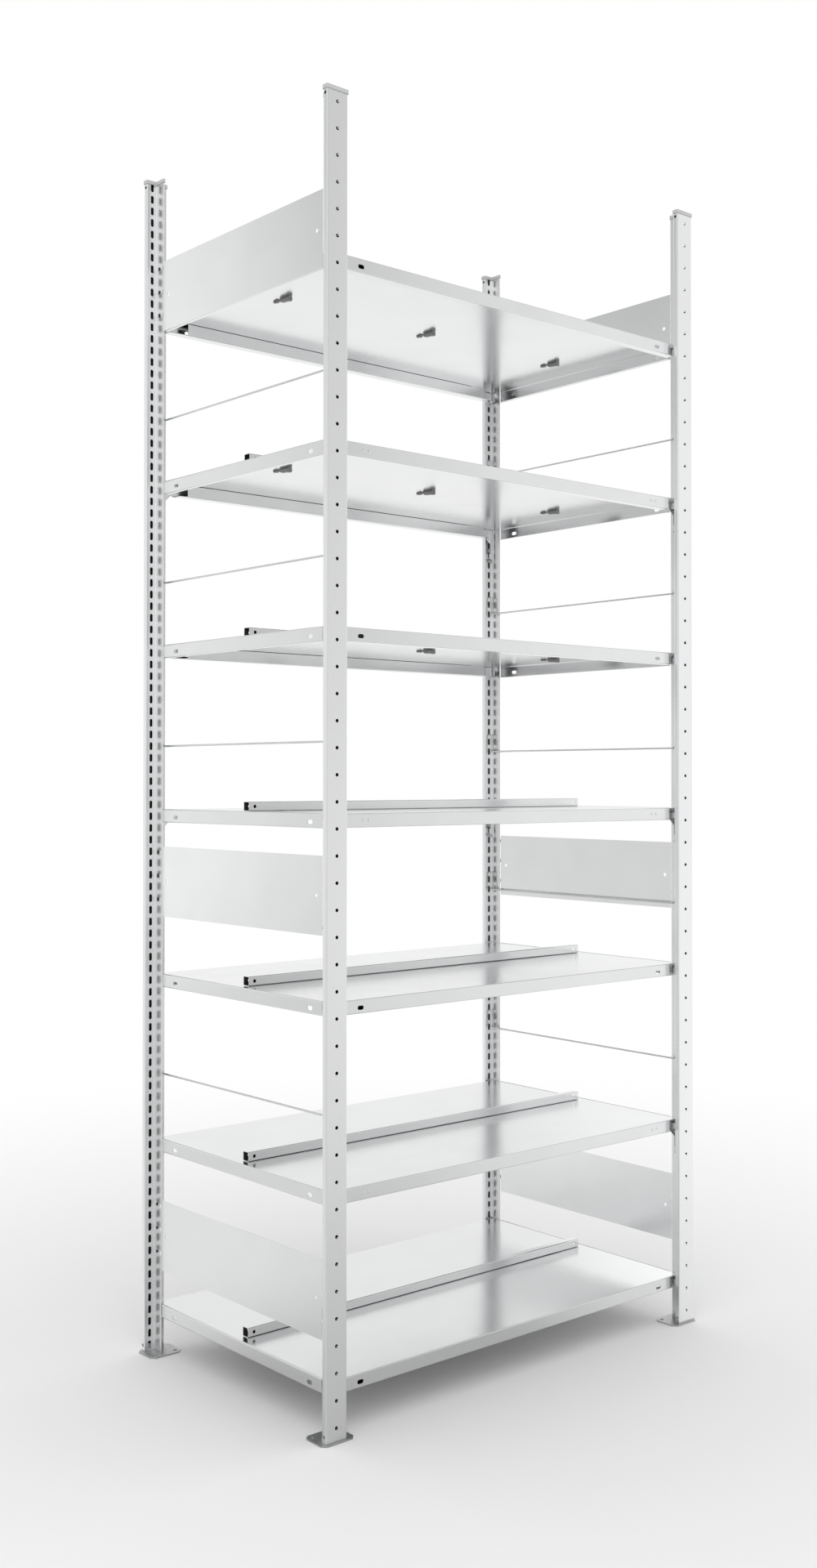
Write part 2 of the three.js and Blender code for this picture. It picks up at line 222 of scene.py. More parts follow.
@dataclass
class Fold:
    """Profile of a folded sheet: straight runs joined by round bends.

    A corner between unit directions d and e with outside radius r is the arc that leaves the
    first run r tan(a / 2) before the corner, where a is the angle between d and e. The outward
    side is on the right of the path.

    Attributes:
        corners: Corner points of the outside line.
        radii: Outside radius at each corner, zero at the ends of an open profile.
        steps: Segments of each bend.
        closed: Whether the last corner joins the first.
    """

    corners: list[tuple[float, float]]
    radii: list[float]
    steps: int = 4
    closed: bool = False
    runs: np.ndarray = field(init=False)
    places: np.ndarray = field(init=False)
    normals: np.ndarray = field(init=False)
    spans: list[tuple[float, float]] = field(init=False)

    def __post_init__(self) -> None:
        """Works out the knots of the profile, their normals and their distances along it."""
        corners = np.array(self.corners, float)
        ahead = np.roll(corners, -1, axis=0) - corners
        units = ahead / np.linalg.norm(ahead, axis=1)[:, None]
        last = len(corners) - 1
        bends = []
        for index, corner in enumerate(corners):
            arrive, leave = units[index - 1], units[index]
            if not self.closed and index in (0, last):
                bends.append((corner[None], self._right(arrive if index else leave)[None]))
            else:
                bends.append(self._bend(corner, arrive, leave, self.radii[index]))
        sizes = np.array([len(places) for places, _ in bends])
        if self.closed:
            bends.append([rows[:1] for rows in bends[0]])
        self.places, self.normals = [np.vstack(rows) for rows in zip(*bends)]
        hops = np.linalg.norm(np.diff(self.places, axis=0), axis=1)
        self.runs = np.concatenate([[0.0], np.cumsum(hops)])
        lasts = np.cumsum(sizes) - 1
        firsts = np.append(lasts[1:] - sizes[1:] + 1, len(self.runs) - 1)
        ends = slice(last + self.closed)
        self.spans = list(zip(self.runs[lasts[ends]].tolist(), self.runs[firsts[ends]].tolist()))

    @staticmethod
    def _right(unit: np.ndarray) -> np.ndarray:
        """Returns the direction on the right of a unit direction."""
        return np.array([unit[1], -unit[0]])

    def _bend(
        self, corner: np.ndarray, arrive: np.ndarray, leave: np.ndarray, radius: float
    ) -> tuple[np.ndarray, np.ndarray]:
        """Works out one bend: N(p) = cos p R + sin p A and P(p) = S + r (N(p) - R).

        Here A is the direction of arrival, R the one on its right, S the start of the bend and p
        goes from 0 to the turn. The radius r is negative in a turn to the right.

        Args:
            corner: The corner.
            arrive: Unit direction before it.
            leave: Unit direction after it.
            radius: Outside radius.

        Returns:
            The points from its start to its end, and their normals.
        """
        turn = math.atan2(arrive[0] * leave[1] - arrive[1] * leave[0], float(arrive @ leave))
        start = corner - arrive * radius * abs(math.tan(turn / 2.0))
        right = self._right(arrive)
        angles = turn * np.linspace(0.0, 1.0, self.steps + 1)[:, None]
        normals = np.cos(angles) * right + np.sin(angles) * arrive
        return start + math.copysign(radius, turn) * (normals - right), normals

    def at(self, run: np.ndarray) -> tuple[np.ndarray, np.ndarray]:
        """Finds points of the profile by their distance along it.

        Args:
            run: Distances from the first knot.

        Returns:
            The places and the outward unit normals.
        """
        place = np.column_stack([np.interp(run, self.runs, self.places[:, i]) for i in (0, 1)])
        normal = np.column_stack([np.interp(run, self.runs, self.normals[:, i]) for i in (0, 1)])
        return place, normal / np.linalg.norm(normal, axis=1, keepdims=True)

    def middle(self, span: int) -> float:
        """Returns the distance along the profile of the middle of a straight run."""
        return sum(self.spans[span]) / 2.0


def lines(*groups: np.ndarray | list[float]) -> np.ndarray:
    """Returns the sorted places of grid lines from several groups, each place once."""
    joined = np.concatenate([np.asarray(group, float) for group in groups])
    return np.unique(np.round(joined, LINE_DECIMALS))


def signs(values: np.ndarray) -> np.ndarray:
    """Returns the sign of each value, zero for one that is zero but for its rounding."""
    return np.sign(np.round(values, SIGN_DECIMALS))


def cells(middles: tuple[float, ...], size: float) -> np.ndarray:
    """Returns the start and end of a cell around each middle, one pair per row."""
    return np.array(middles)[:, None] + np.array([-size, size]) / 2.0


def divided(pairs: np.ndarray, parts: int) -> np.ndarray:
    """Returns the lines that divide cells in equal parts."""
    return np.linspace(pairs[:, 0], pairs[:, 1], parts + 1).ravel()


@dataclass(frozen=True)
class Punch:
    """A row of equal holes along a sheet.

    Attributes:
        low: Start of the punched band across the sheet.
        high: End of the punched band.
        stations: Start and end along the sheet of the cell of each hole, one pair per row.
        radius: Radius of the rounded ends.
        stretch: Half the straight length of the hole, across and along the sheet.
        parts: Equal parts that grid lines divide the band in.
    """

    low: float
    high: float
    stations: np.ndarray
    radius: float
    stretch: tuple[float, float] = (0.0, 0.0)
    parts: int = CELL_PARTS


class Sheet:
    """Developed sheet on a grid of lines, with punched cells."""

    def __init__(self, across: np.ndarray, along: np.ndarray, rows: list[Punch] | None = None) -> None:
        """Lays out the sheet and cuts its holes.

        Args:
            across: Places of the grid lines across the sheet, besides those of its holes.
            along: Places of the grid lines along it.
            rows: Its rows of holes.
        """
        if rows:
            bands = [np.linspace(row.low, row.high, row.parts + 1) for row in rows]
            across = lines(across, *bands)
        self.across = across
        self.along = along
        self.full = np.ones((len(across) - 1, len(along) - 1), bool)
        self.numbers = np.arange(len(across) * len(along)).reshape(len(across), len(along))
        grid = np.meshgrid(across, along, indexing="ij")
        self.flat = [np.column_stack([grid[0].ravel(), grid[1].ravel()])]
        self.rings: list[np.ndarray] = []
        self.total = self.numbers.size
        for row in rows or []:
            self._punch(row)

    def _punch(self, row: Punch) -> None:
        """Cuts one row of holes.

        A cell's edge has M grid points. The hole gets M points at the angles
        t_i = 3 pi / 2 + (2 pi / M) (i - n / 2), n of them below the cell's middle, each at
        (r cos t + a sign(cos t), r sin t + b sign(sin t)) from the middle of the cell.

        Args:
            row: The holes and their cells.
        """
        first = int(np.argmin(abs(self.across - row.low)))
        last = int(np.argmin(abs(self.across - row.high)))
        starts = np.argmin(abs(self.along[None] - row.stations[:, :1]), axis=1)
        stops = np.argmin(abs(self.along[None] - row.stations[:, 1:]), axis=1)
        wide, tall = last - first, int(stops[0] - starts[0])
        over, up = np.arange(wide), np.arange(tall)
        level, steep = np.zeros_like(over), np.zeros_like(up)
        steps_u = np.concatenate([over, steep + wide, wide - over, steep])
        steps_v = np.concatenate([level, up, level + tall, tall - up])
        outer = self.numbers[first + steps_u[None], starts[:, None] + steps_v[None]]
        count = len(steps_u)
        angle = 1.5 * math.pi + TURN / count * (np.arange(count) - wide / 2.0)
        hole_u, hole_v = [
            row.radius * wave + stretch * signs(wave)
            for wave, stretch in zip((np.cos(angle), np.sin(angle)), row.stretch)
        ]
        centre_v = (self.along[starts] + self.along[stops]) / 2.0
        centre_u = (self.across[first] + self.across[last]) / 2.0
        ring_u = np.broadcast_to(centre_u + hole_u, outer.shape)
        ring_v = centre_v[:, None] + hole_v[None]
        self.flat.append(np.column_stack([ring_u.ravel(), ring_v.ravel()]))
        inner = self.total + np.arange(outer.size).reshape(outer.shape)
        self.total += outer.size
        quads = np.stack([outer, np.roll(outer, -1, axis=1), np.roll(inner, -1, axis=1), inner], axis=2)
        self.rings.append(quads.reshape(-1, 4))
        for start, stop in zip(starts, stops):
            self.full[first:last, start:stop] = False

    def carried(self, fold: Fold, axis: Axis, reach: np.ndarray | None = None) -> Shell:
        """Folds the sheet along a profile.

        A point (u, v) goes to the profile's place at u and to v along the axis. Where reach is
        given, the two end lines go to plus and minus reach(u) instead.

        Args:
            fold: The profile.
            axis: Axis that the profile is carried along.
            reach: Half length at each knot of the profile.

        Returns:
            The folded surface.
        """
        flat = np.vstack(self.flat)
        corners = [self.numbers[:-1, :-1], self.numbers[1:, :-1], self.numbers[1:, 1:], self.numbers[:-1, 1:]]
        quads = np.stack([corner[self.full] for corner in corners], axis=1)
        faces = np.vstack([quads, *self.rings])
        along = flat[:, 1].copy()
        if reach is not None:
            at_end = np.isclose(abs(along), abs(self.along).max())
            along[at_end] = np.sign(along[at_end]) * np.interp(flat[at_end, 0], fold.runs, reach)
        place, normal = fold.at(flat[:, 0])
        points = axis.stack(place, along)
        normals = axis.stack(normal, np.zeros(len(place)))
        return Shell(points, faces, normals).used()


def set_normals(mesh: bpy.types.Mesh, normals: np.ndarray) -> None:
    """Gives the skins of a sheet their exact normals, so that flat runs shade flat.

    A corner keeps the normal of its vertex where that lies within about 37 degrees of the normal
    of its face, and gets Blender's own where it doesn't, as on the edges of the sheet.

    Args:
        mesh: The mesh.
        normals: Normals of its vertices, zero where there is none.
    """
    corners = np.empty(len(mesh.loops), int)
    mesh.loops.foreach_get("vertex_index", corners)
    sizes = np.empty(len(mesh.polygons), int)
    mesh.polygons.foreach_get("loop_total", sizes)
    flat = np.empty(len(mesh.polygons) * 3)
    mesh.polygons.foreach_get("normal", flat)
    faces = np.repeat(flat.reshape(-1, 3), sizes, axis=0)
    wanted = normals[corners]
    wanted[np.sum(wanted * faces, axis=1) < FLAT_COSINE] = 0.0
    mesh.normals_split_custom_set(wanted.tolist())


def make_piece(
    node: str,
    part: str,
    shell: Shell,
    material: bpy.types.Material,
    bevel: float = 0.0,
    inside: bpy.types.Material | None = None,
) -> bpy.types.Object:
    """Makes the Blender object of a finished surface.

    Args:
        node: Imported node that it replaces, or helps to replace.
        part: What it is of that node, which ends its name.
        shell: Its surface.
        material: Finish.
        bevel: Width of the rounding on its sharp edges, or zero.
        inside: Finish of the inner skin, where it differs.

    Returns:
        The object, riding on the body.
    """
    name = f"{node}_{part}"
    mesh = bpy.data.meshes.new(name)
    mesh.from_pydata(shell.points.tolist(), [], shell.faces.tolist() + shell.caps)
    mesh.polygons.foreach_set("use_smooth", [True] * len(mesh.polygons))
    mesh.set_sharp_from_angle(angle=SHARP)
    if inside:
        skins = np.zeros(len(mesh.polygons), int)
        skins[slice(*shell.inner)] = 1
        mesh.polygons.foreach_set("material_index", skins)
    mesh.validate()
    if not bevel:
        set_normals(mesh, shell.normals)
    for finish in filter(None, (material, inside)):
        mesh.materials.append(finish)
    piece = bpy.data.objects.new(name, mesh)
    bpy.context.scene.collection.objects.link(piece)
    if bevel:
        rounding = piece.modifiers.new("rounding", "BEVEL")
        rounding.width = bevel
        rounding.segments = BEVEL_SEGMENTS
        rounding.limit_method = "ANGLE"
        rounding.angle_limit = SHARP
        rounding.harden_normals = True
    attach(piece, BODY)
    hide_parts(node)
    log.info("%s: %d faces", name, len(mesh.polygons))
    return piece


def lofted(rings: list[np.ndarray]) -> Shell:
    """Joins equal rings of points to a closed skin.

    Args:
        rings: Rings in order, each counter-clockwise when seen against the order.

    Returns:
        The skin with its two end faces.
    """
    count, size = len(rings), len(rings[0])
    numbers = np.arange(count * size).reshape(count, size)
    ahead = np.roll(numbers, -1, axis=1)
    quads = np.stack([numbers[:-1], ahead[:-1], ahead[1:], numbers[1:]], axis=2).reshape(-1, 4)
    points = np.vstack(rings)
    return Shell(points, quads, np.zeros_like(points), [numbers[0][::-1].tolist(), numbers[-1].tolist()])


def prism(outline: list[tuple[float, float]], axis: Axis, start: float, stop: float) -> Shell:
    """Carries a closed outline straight along an axis.

    The outline is reversed where its area, half the sum of a_i b_(i+1) - a_(i+1) b_i, is negative.

    Args:
        outline: Corners in the profile coordinates of the axis.
        axis: Axis that it is carried along.
        start: Lower station.
        stop: Upper station.

    Returns:
        The closed solid.
    """
    flat = np.array(outline, float)
    ahead = np.roll(flat, -1, axis=0)
    if float(np.sum(flat[:, 0] * ahead[:, 1] - ahead[:, 0] * flat[:, 1])) < 0.0:
        flat = flat[::-1]
    return lofted([axis.stack(flat, np.full(len(flat), place)) for place in (start, stop)])


def block(wide: tuple[float, float], deep: tuple[float, float], start: float, stop: float) -> Shell:
    """Returns an upright block between two places in x, two in y and two heights."""
    (left, right), (near, far) = wide, deep
    return prism([(left, near), (right, near), (right, far), (left, far)], Axis.Z, start, stop)


def tube(fold: Fold, station: float, radius: float, sides: int) -> Shell:
    """Carries a circle along a bent line in a plane of constant x.

    A ring is P + r (cos a X + sin a (T x X)) for each knot P of the line with tangent T, and the
    first and last rings shrink to END_RADIUS_SHARE r with full rings END_LENGTH_SHARE r inside.

    Args:
        fold: The line in (y, z).
        station: Place of the plane.
        radius: Radius of the circle.
        sides: Points of each ring.

    Returns:
        The closed tube.
    """
    inside = radius * END_LENGTH_SHARE
    runs = np.concatenate([[0.0, inside], fold.runs[1:-1], [fold.runs[-1] - inside, fold.runs[-1]]])
    places, normals = fold.at(runs)
    radii = np.full(len(runs), radius)
    radii[[0, -1]] *= END_RADIUS_SHARE
    centres = Axis.X.stack(places, np.full(len(runs), station))
    outward = Axis.X.stack(normals, np.zeros(len(runs)))
    angles = TURN * np.arange(sides) / sides
    wide = np.cos(angles)[None, :, None] * np.array([1.0, 0.0, 0.0])
    deep = np.sin(angles)[None, :, None] * outward[:, None]
    return lofted(list(centres[:, None] + radii[:, None, None] * (wide + deep)))


def pierced(
    outline: list[tuple[float, float]], centre: tuple[float, float], radius: float, steps: int
) -> Shell:
    """Makes a flat convex plate with one round hole.

    At the angle t the plate's edge lies r(t) = min h_k / (n_k . d(t)) from the hole's centre, over
    the sides k with outward normal n_k at the distance h_k that the direction d(t) meets.

    Args:
        outline: Corners in (x, y), counter-clockwise.
        centre: Centre of the hole.
        radius: Its radius.
        steps: Evenly spread angles, besides those of the corners.

    Returns:
        The top face, at zero height.
    """
    corners = np.array(outline, float) - np.array(centre)
    sides = np.roll(corners, -1, axis=0) - corners
    normals = np.column_stack([sides[:, 1], -sides[:, 0]]) / np.linalg.norm(sides, axis=1)[:, None]
    heights = np.sum(normals * corners, axis=1)
    corner_angles = np.mod(np.arctan2(corners[:, 1], corners[:, 0]), TURN)
    angles = lines(corner_angles, TURN * np.arange(steps) / steps)
    rays = np.column_stack([np.cos(angles), np.sin(angles)])
    slopes = rays @ normals.T
    reach = np.where(slopes > TINY, heights / np.maximum(slopes, TINY), np.inf).min(axis=1)
    flat = np.vstack([rays * reach[:, None], rays * radius]) + np.array(centre)
    outer = np.arange(len(angles))
    ahead = np.roll(outer, -1)
    faces = np.column_stack([outer, ahead, ahead + len(angles), outer + len(angles)])
    up = np.tile([0.0, 0.0, 1.0], (len(flat), 1))
    return Shell(np.column_stack([flat, np.zeros(len(flat))]), faces, up)


@dataclass(frozen=True)
class Strip:
    """A darker upright strip of the mirrored surroundings, or a lighter one.

    Attributes:
        turn: Turn of its middle from x, counter-clockwise.
        rise: Cosines of the turn from that middle where the strip starts and is complete.
        loss: Share of the light that its middle loses, below zero where it is lighter.
        climb: Heights of the direction where the strip starts and is complete, if it isn't the
            same at all heights.
    """

    turn: float
    rise: tuple[float, float]
    loss: float
    climb: tuple[float, float] | None = None


class Recipe:
    """Shader nodes of one finish, floor or sky, joined as they are added."""

    def __init__(self, tree: bpy.types.NodeTree) -> None:
        """Starts on a node tree."""
        self.nodes, self.links = tree.nodes, tree.links

    def feed(self, node: bpy.types.Node, feeds: dict[str | int, Feed]) -> None:
        """Sets inputs of a node, or links them where the value is a socket.

        Args:
            node: The node.
            feeds: Value or socket for each input, by its name or number.
        """
        for key, value in feeds.items():
            if isinstance(value, bpy.types.NodeSocket):
                self.links.new(value, node.inputs[key])
            else:
                node.inputs[key].default_value = value

    def add(
        self, kind: str, feeds: dict[str | int, Feed] | None = None, out: str | int = 0, **options: object
    ) -> bpy.types.NodeSocket:
        """Adds a node.

        Args:
            kind: Its type, without the start that all types share.
            feeds: What its inputs get.
            out: Name or number of the wanted output.
            options: Its options.

        Returns:
            The wanted output.
        """
        node = self.nodes.new(f"ShaderNode{kind}")
        for name, value in options.items():
            setattr(node, name, value)
        self.feed(node, feeds or {})
        return node.outputs[out]

    def number(self, operation: str, *values: Feed) -> bpy.types.NodeSocket:
        """Returns the result of an operation on numbers."""
        return self.add("Math", dict(enumerate(values)), operation=operation)

    def vector(self, operation: str, *values: Feed, out: str = "Vector") -> bpy.types.NodeSocket:
        """Returns the result of an operation on vectors."""
        return self.add("VectorMath", dict(enumerate(values)), out, operation=operation)

    def ramp(
        self, value: Feed, start: float, stop: float, low: Feed, high: Feed, kind: str = "LINEAR"
    ) -> bpy.types.NodeSocket:
        """Returns what goes from low to high while the value goes from start to stop."""
        feeds = {"Value": value, "From Min": start, "From Max": stop, "To Min": low, "To Max": high}
        return self.add("MapRange", feeds, "Result", interpolation_type=kind)

    def mixed(self, share: Feed, first: Feed, second: Feed) -> bpy.types.NodeSocket:
        """Returns a mix of two shaders."""
        return self.add("MixShader", {0: share, 1: first, 2: second})

    def around(self, place: bpy.types.NodeSocket, strips: tuple[Strip, ...]) -> bpy.types.NodeSocket:
        """Adds the strength of what is mirrored in the level direction of a place.

        It is the product over the strips of 1 - loss s(c) h(z), where s is a smooth step of the
        cosine c of the turn between the place and the middle of the strip, and h a ramp of the
        height z of the place, or 1 where the strip has no climb.

        Args:
            place: The place, or a direction.
            strips: The strips.

        Returns:
            The strength.
        """
        unit = self.vector("NORMALIZE", self.vector("MULTIPLY", place, (1.0, 1.0, 0.0)))
        product = 1.0
        for strip in strips:
            middle = (math.cos(strip.turn), math.sin(strip.turn), 0.0)
            cosine = self.vector("DOT_PRODUCT", unit, middle, out="Value")
            share = self.ramp(cosine, *strip.rise, 1.0, 1.0 - strip.loss, "SMOOTHSTEP")
            if strip.climb:
                height = self.add("SeparateXYZ", {0: place}, "Z")
                share = self.ramp(self.ramp(height, *strip.climb, 0.0, 1.0), 0.0, 1.0, 1.0, share)
            product = self.number("MULTIPLY", product, share)
        return product

    def shiny(self) -> bpy.types.NodeSocket:
        """Adds the test for camera, mirror and glass rays.

        Returns:
            A socket that is 1 on them.
        """
        largest = self.add("LightPath", out="Is Camera Ray")
        for name in ("Is Glossy Ray", "Is Transmission Ray"):
            largest = self.number("MAXIMUM", largest, self.add("LightPath", out=name))
        return largest

    def unmirrored(self, mirrored: bpy.types.NodeSocket) -> bpy.types.NodeSocket:
        """Returns a socket that has the given value on mirrored rays and 1 on all others."""
        return self.ramp(self.add("LightPath", out="Is Glossy Ray"), 0.0, 1.0, 1.0, mirrored)


def cloud_group() -> bpy.types.NodeTree:
    """Makes the shader group that spreads a value softly over a surface.

    The value is Low + (High - Low) n, where n is a noise of the given scale in object space that
    is stretched upward by the given factor.

    Returns:
        The group.
    """
    group = bpy.data.node_groups.new("cloud", "ShaderNodeTree")
    for name, value in (("Scale", 20.0), ("Stretch", 1.0), ("Low", 0.0), ("High", 1.0)):
        socket = group.interface.new_socket(name=name, in_out="INPUT", socket_type="NodeSocketFloat")
        socket.default_value = value
    group.interface.new_socket(name="Value", in_out="OUTPUT", socket_type="NodeSocketFloat")
    entry = group.nodes.new("NodeGroupInput").outputs
    leave = group.nodes.new("NodeGroupOutput")
    cloud = Recipe(group)
    factor = cloud.add("CombineXYZ", {"X": 1.0, "Y": 1.0, "Z": cloud.number("DIVIDE", 1.0, entry["Stretch"])})
    place = cloud.vector("MULTIPLY", cloud.add("TexCoord", out="Object"), factor)
    feeds = {"Vector": place, "Scale": entry["Scale"], "Detail": CLOUD_DETAIL}
    noise = cloud.add("TexNoise", feeds, "Fac")
    cloud.feed(leave, {"Value": cloud.ramp(noise, *CLOUD_RANGE, entry["Low"], entry["High"])})
    return group


@dataclass(frozen=True)
class Finish:
    """A finish with soft changes of tone and gloss.

    Attributes:
        name: Name of the material.
        tone: Darkest and lightest grey of the surface.
        tint: Factor of each colour on that grey.
        metallic: 1 for bare metal.
        gloss: Least and greatest roughness.
        scale: Scale of the changes of gloss.
        tone_scale_share: Scale of the changes of tone as a share of that.
        grain: Scale of the fine grain.
        grain_height: Height of the grain.
        stretch: How much longer than wide the changes of gloss are.
    """

    name: str
    tone: tuple[float, float]
    tint: tuple[float, float, float] = (0.995, 1.0, 1.005)
    metallic: float = 1.0
    gloss: tuple[float, float] = (0.28, 0.34)
    scale: float = 14.0
    tone_scale_share: float = 0.6
    grain: float = 900.0
    grain_height: float = 0.02 * MM
    stretch: float = 1.0

    def material(self, cloud: bpy.types.NodeTree) -> bpy.types.Material:
        """Makes the material.

        Args:
            cloud: The shader group from cloud_group.

        Returns:
            The finished material.
        """
        material = bpy.data.materials.new(self.name)
        material.use_nodes = True
        finish = Recipe(material.node_tree)
        tone, gloss, grain = [
            finish.add(
                "Group", {"Scale": scale, "Stretch": self.stretch, "Low": low, "High": high}, node_tree=cloud
            )
            for scale, (low, high) in (
                (self.scale * self.tone_scale_share, self.tone),
                (self.scale, self.gloss),
                (self.grain, (0.0, 1.0)),
            )
        ]
        feeds = {
            "Metallic": self.metallic,
            "Base Color": finish.add("VectorMath", {0: self.tint, "Scale": tone}, operation="SCALE"),
            "Roughness": gloss,
            "Normal": finish.add("Bump", {"Distance": self.grain_height, "Height": grain}),
        }
        finish.feed(finish.nodes["Principled BSDF"], feeds)
        return material


POST_STEEL = Finish("post_steel", tone=(0.91, 0.93), gloss=(0.28, 0.33), stretch=6.0)
# Very dark steel for the inner skins of posts and stop rails: painted shade in their hollows, not the colour
# of the metal.
HOLLOW_SHADE_STEEL = Finish("hollow_shade_steel", tone=(0.16, 0.2), gloss=(0.5, 0.6), scale=40.0)
PANEL_STEEL = Finish("panel_steel", tone=(0.88, 0.91), gloss=(0.14, 0.18))
SHELF_STEEL = Finish("shelf_steel", tone=(0.81, 0.83), gloss=(0.17, 0.21))
BRACKET_STEEL = Finish("bracket_steel", tone=(0.88, 0.92), gloss=(0.26, 0.32), scale=30.0)
# Foot plates are darkened to about half the grey of the other steel: painted shade standing in for the shadow
# they lie in, over their steel colour.
FOOT_SHADE_STEEL = Finish("foot_steel", tone=(0.5, 0.55), gloss=(0.4, 0.48), scale=40.0)
WIRE_STEEL = Finish("wire_steel", tone=(0.72, 0.76), gloss=(0.18, 0.26), scale=50.0)
CAP_PLASTIC = Finish("cap_plastic", tone=(0.5, 0.52), metallic=0.0, gloss=(0.45, 0.52), scale=60.0)
PLUG_PLASTIC = Finish("plug_plastic", tone=(0.27, 0.31), metallic=0.0, gloss=(0.45, 0.55), scale=60.0)


def node_box(node: str) -> tuple[np.ndarray, np.ndarray]:
    """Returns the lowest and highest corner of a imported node."""
    low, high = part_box(node)
    return np.array(low), np.array(high)


@dataclass(frozen=True)
class Corner:
    """A corner of the bay: its name and the sides of x and y that it is on."""

    name: str
    x: int
    y: int

    def mirrored(self, shell: Shell, height: float = 0.0) -> Shell:
        """Returns a shape of the corner with positive x and y at this corner and a height."""
        return shell.moved((0.0, 0.0, height), (self.x, self.y, 1))

    def faced(self, shell: Shell, node: str, grow: float = 0.0) -> Shell:
        """Puts a T shape, its post's face at zero and its web toward plus y, in place of a node.

        Args:
            shell: The shape.
            node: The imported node.
            grow: How far the shape reaches out before the face.

        Returns:
            The placed shape.
        """
        low, high = node_box(node)
        face = low[1] + grow if self.y < 0 else high[1] - grow
        return shell.moved(((low[0] + high[0]) / 2.0, face, 0.0), (self.y, -self.y, 1))


def is_braced(level: int) -> bool:
    """Returns whether the shelf of a level ends in corner brackets."""
    return level % 2 == 0


CORNERS = (
    Corner("front_left", -1, -1),
    Corner("front_right", 1, -1),
    Corner("rear_left", -1, 1),
    Corner("rear_right", 1, 1),
)


@dataclass(frozen=True)
class Post:
    """A T post folded from sheet: hollow flange, double web, slots and round holes. Its inner skin gets a
    very dark finish that paints the shade inside the hollow.
    """

    steel: bpy.types.Material
    hollow_shade: bpy.types.Material
    width: float = 49.0 * MM
    depth: float = 12.2 * MM
    web: float = 3.0 * MM
    web_length: float = 28.3 * MM
    wall: float = 1.4 * MM
    bend: float = 2.2 * MM
    tip_share: float = 0.98
    pitch: float = 25.0 * MM
    slot_width: float = 7.0 * MM
    slot_height: float = 17.0 * MM
    slot_offset: float = 12.0 * MM
    hole: float = 7.0 * MM
    side_hole: float = 6.4 * MM
    cell: float = 13.0 * MM

    def build(self, corner: Corner) -> None:
        """Builds the post of one corner.

        Args:
            corner: The corner.
        """
        node = f"post_{corner.name}"
        low, high = node_box(node)
        shell = self._sheet(low[2], high[2]).thick(self.wall)
        # The inner skin takes the dark finish that paints the shade inside the post.
        make_piece(node, "sheet", corner.faced(shell, node), self.steel, inside=self.hollow_shade)

    def outline(self, grow: float, inner_bend: float, tip_share: float) -> Fold:
        """Returns the T outline, its face at zero and its web toward plus y, grown by an offset.

        Args:
            grow: The offset.
            inner_bend: Radius between flange and web.
            tip_share: Radius at the tip as a share of half the web.

        Returns:
            The closed profile.
        """
        half, web = self.width / 2.0 + grow, self.web / 2.0 + grow
        back, end = self.depth + grow, self.depth + self.web_length + grow
        right = [(half, -grow), (half, back), (web, back), (web, end)]
        left = [(-x, y) for x, y in right[::-1]]
        side = [self.bend, self.bend, inner_bend, web * tip_share]
        return Fold(left[-1:] + right + left[:-1], side[:1] + side + side[:0:-1], steps=3, closed=True)

    def _sheet(self, bottom: float, top: float) -> Shell:
        """Returns the folded and punched surface.

        The spans of the profile are in order the front face, the right side, the right inner half,
        the right of the web, its tip, the left of the web, the left inner half and the left side.

        Args:
            bottom: Lowest height.
            top: Highest height.

        Returns:
            The surface before it gets its thickness.
        """
        fold = self.outline(0.0, self.bend, self.tip_share)
        count = int(round((top - bottom) / self.pitch))
        grid = top - self.pitch * np.arange(count, -1, -1)
        grid[0] = bottom
        half = self.cell / 2.0
        pairs = np.column_stack([grid[:-2:2], grid[2::2]])
        singles = np.column_stack([grid[:-1], grid[1:]])
        ends = singles[[0, -1]]
        offset = self.slot_offset - self.web / 2.0 - self.bend
        stretch = (0.0, (self.slot_height - self.slot_width) / 2.0)
        face = fold.middle(0)
        rows = [Punch(face - half, face + half, pairs, self.hole / 2.0, parts=ROUND_CELL_PARTS)]
        for middle in (fold.spans[2][1] - offset, fold.spans[6][0] + offset):
            rows.append(Punch(middle - half, middle + half, singles, self.slot_width / 2.0, stretch))
        for span in (1, 7):
            rows.append(Punch(*fold.spans[span], ends, self.side_hole / 2.0, parts=ROUND_CELL_PARTS))
        return Sheet(fold.runs, grid, rows).carried(fold, Axis.Z).welded()


@dataclass(frozen=True)
class PostCap:
    """A T shaped lid of moulded plastic with a short skirt."""

    plastic: bpy.types.Material
    grow: float = 1.5 * MM
    wall: float = 1.2 * MM
    lid: float = 3.1 * MM
    rounding: float = 1.2 * MM
    rounding_shares: tuple[float, float] = (0.4, 0.25)
    inner_bend: float = 1.1 * MM
    tip_share: float = 0.9

    def build(self, corner: Corner, post: Post) -> None:
        """Builds the cap of one corner.

        Args:
            corner: The corner.
            post: The post below it.
        """
        node = f"post_cap_{corner.name}"
        low, high = node_box(node)
        bottom, top = low[2], high[2]
        below, inward = [self.rounding * share for share in self.rounding_shares]
        steps = [
            (top - self.lid, self.wall), (bottom, self.wall), (bottom, 0.0), (top - self.rounding, 0.0),
            (top - below, inward), (top, self.rounding),
        ]
        rings = []
        for height, inset in steps:
            places = post.outline(self.grow - inset, self.inner_bend, self.tip_share).places[:-1]
            rings.append(Axis.Z.stack(places, np.full(len(places), height)))
        make_piece(node, "lid", corner.faced(lofted(rings), node, self.grow), self.plastic)


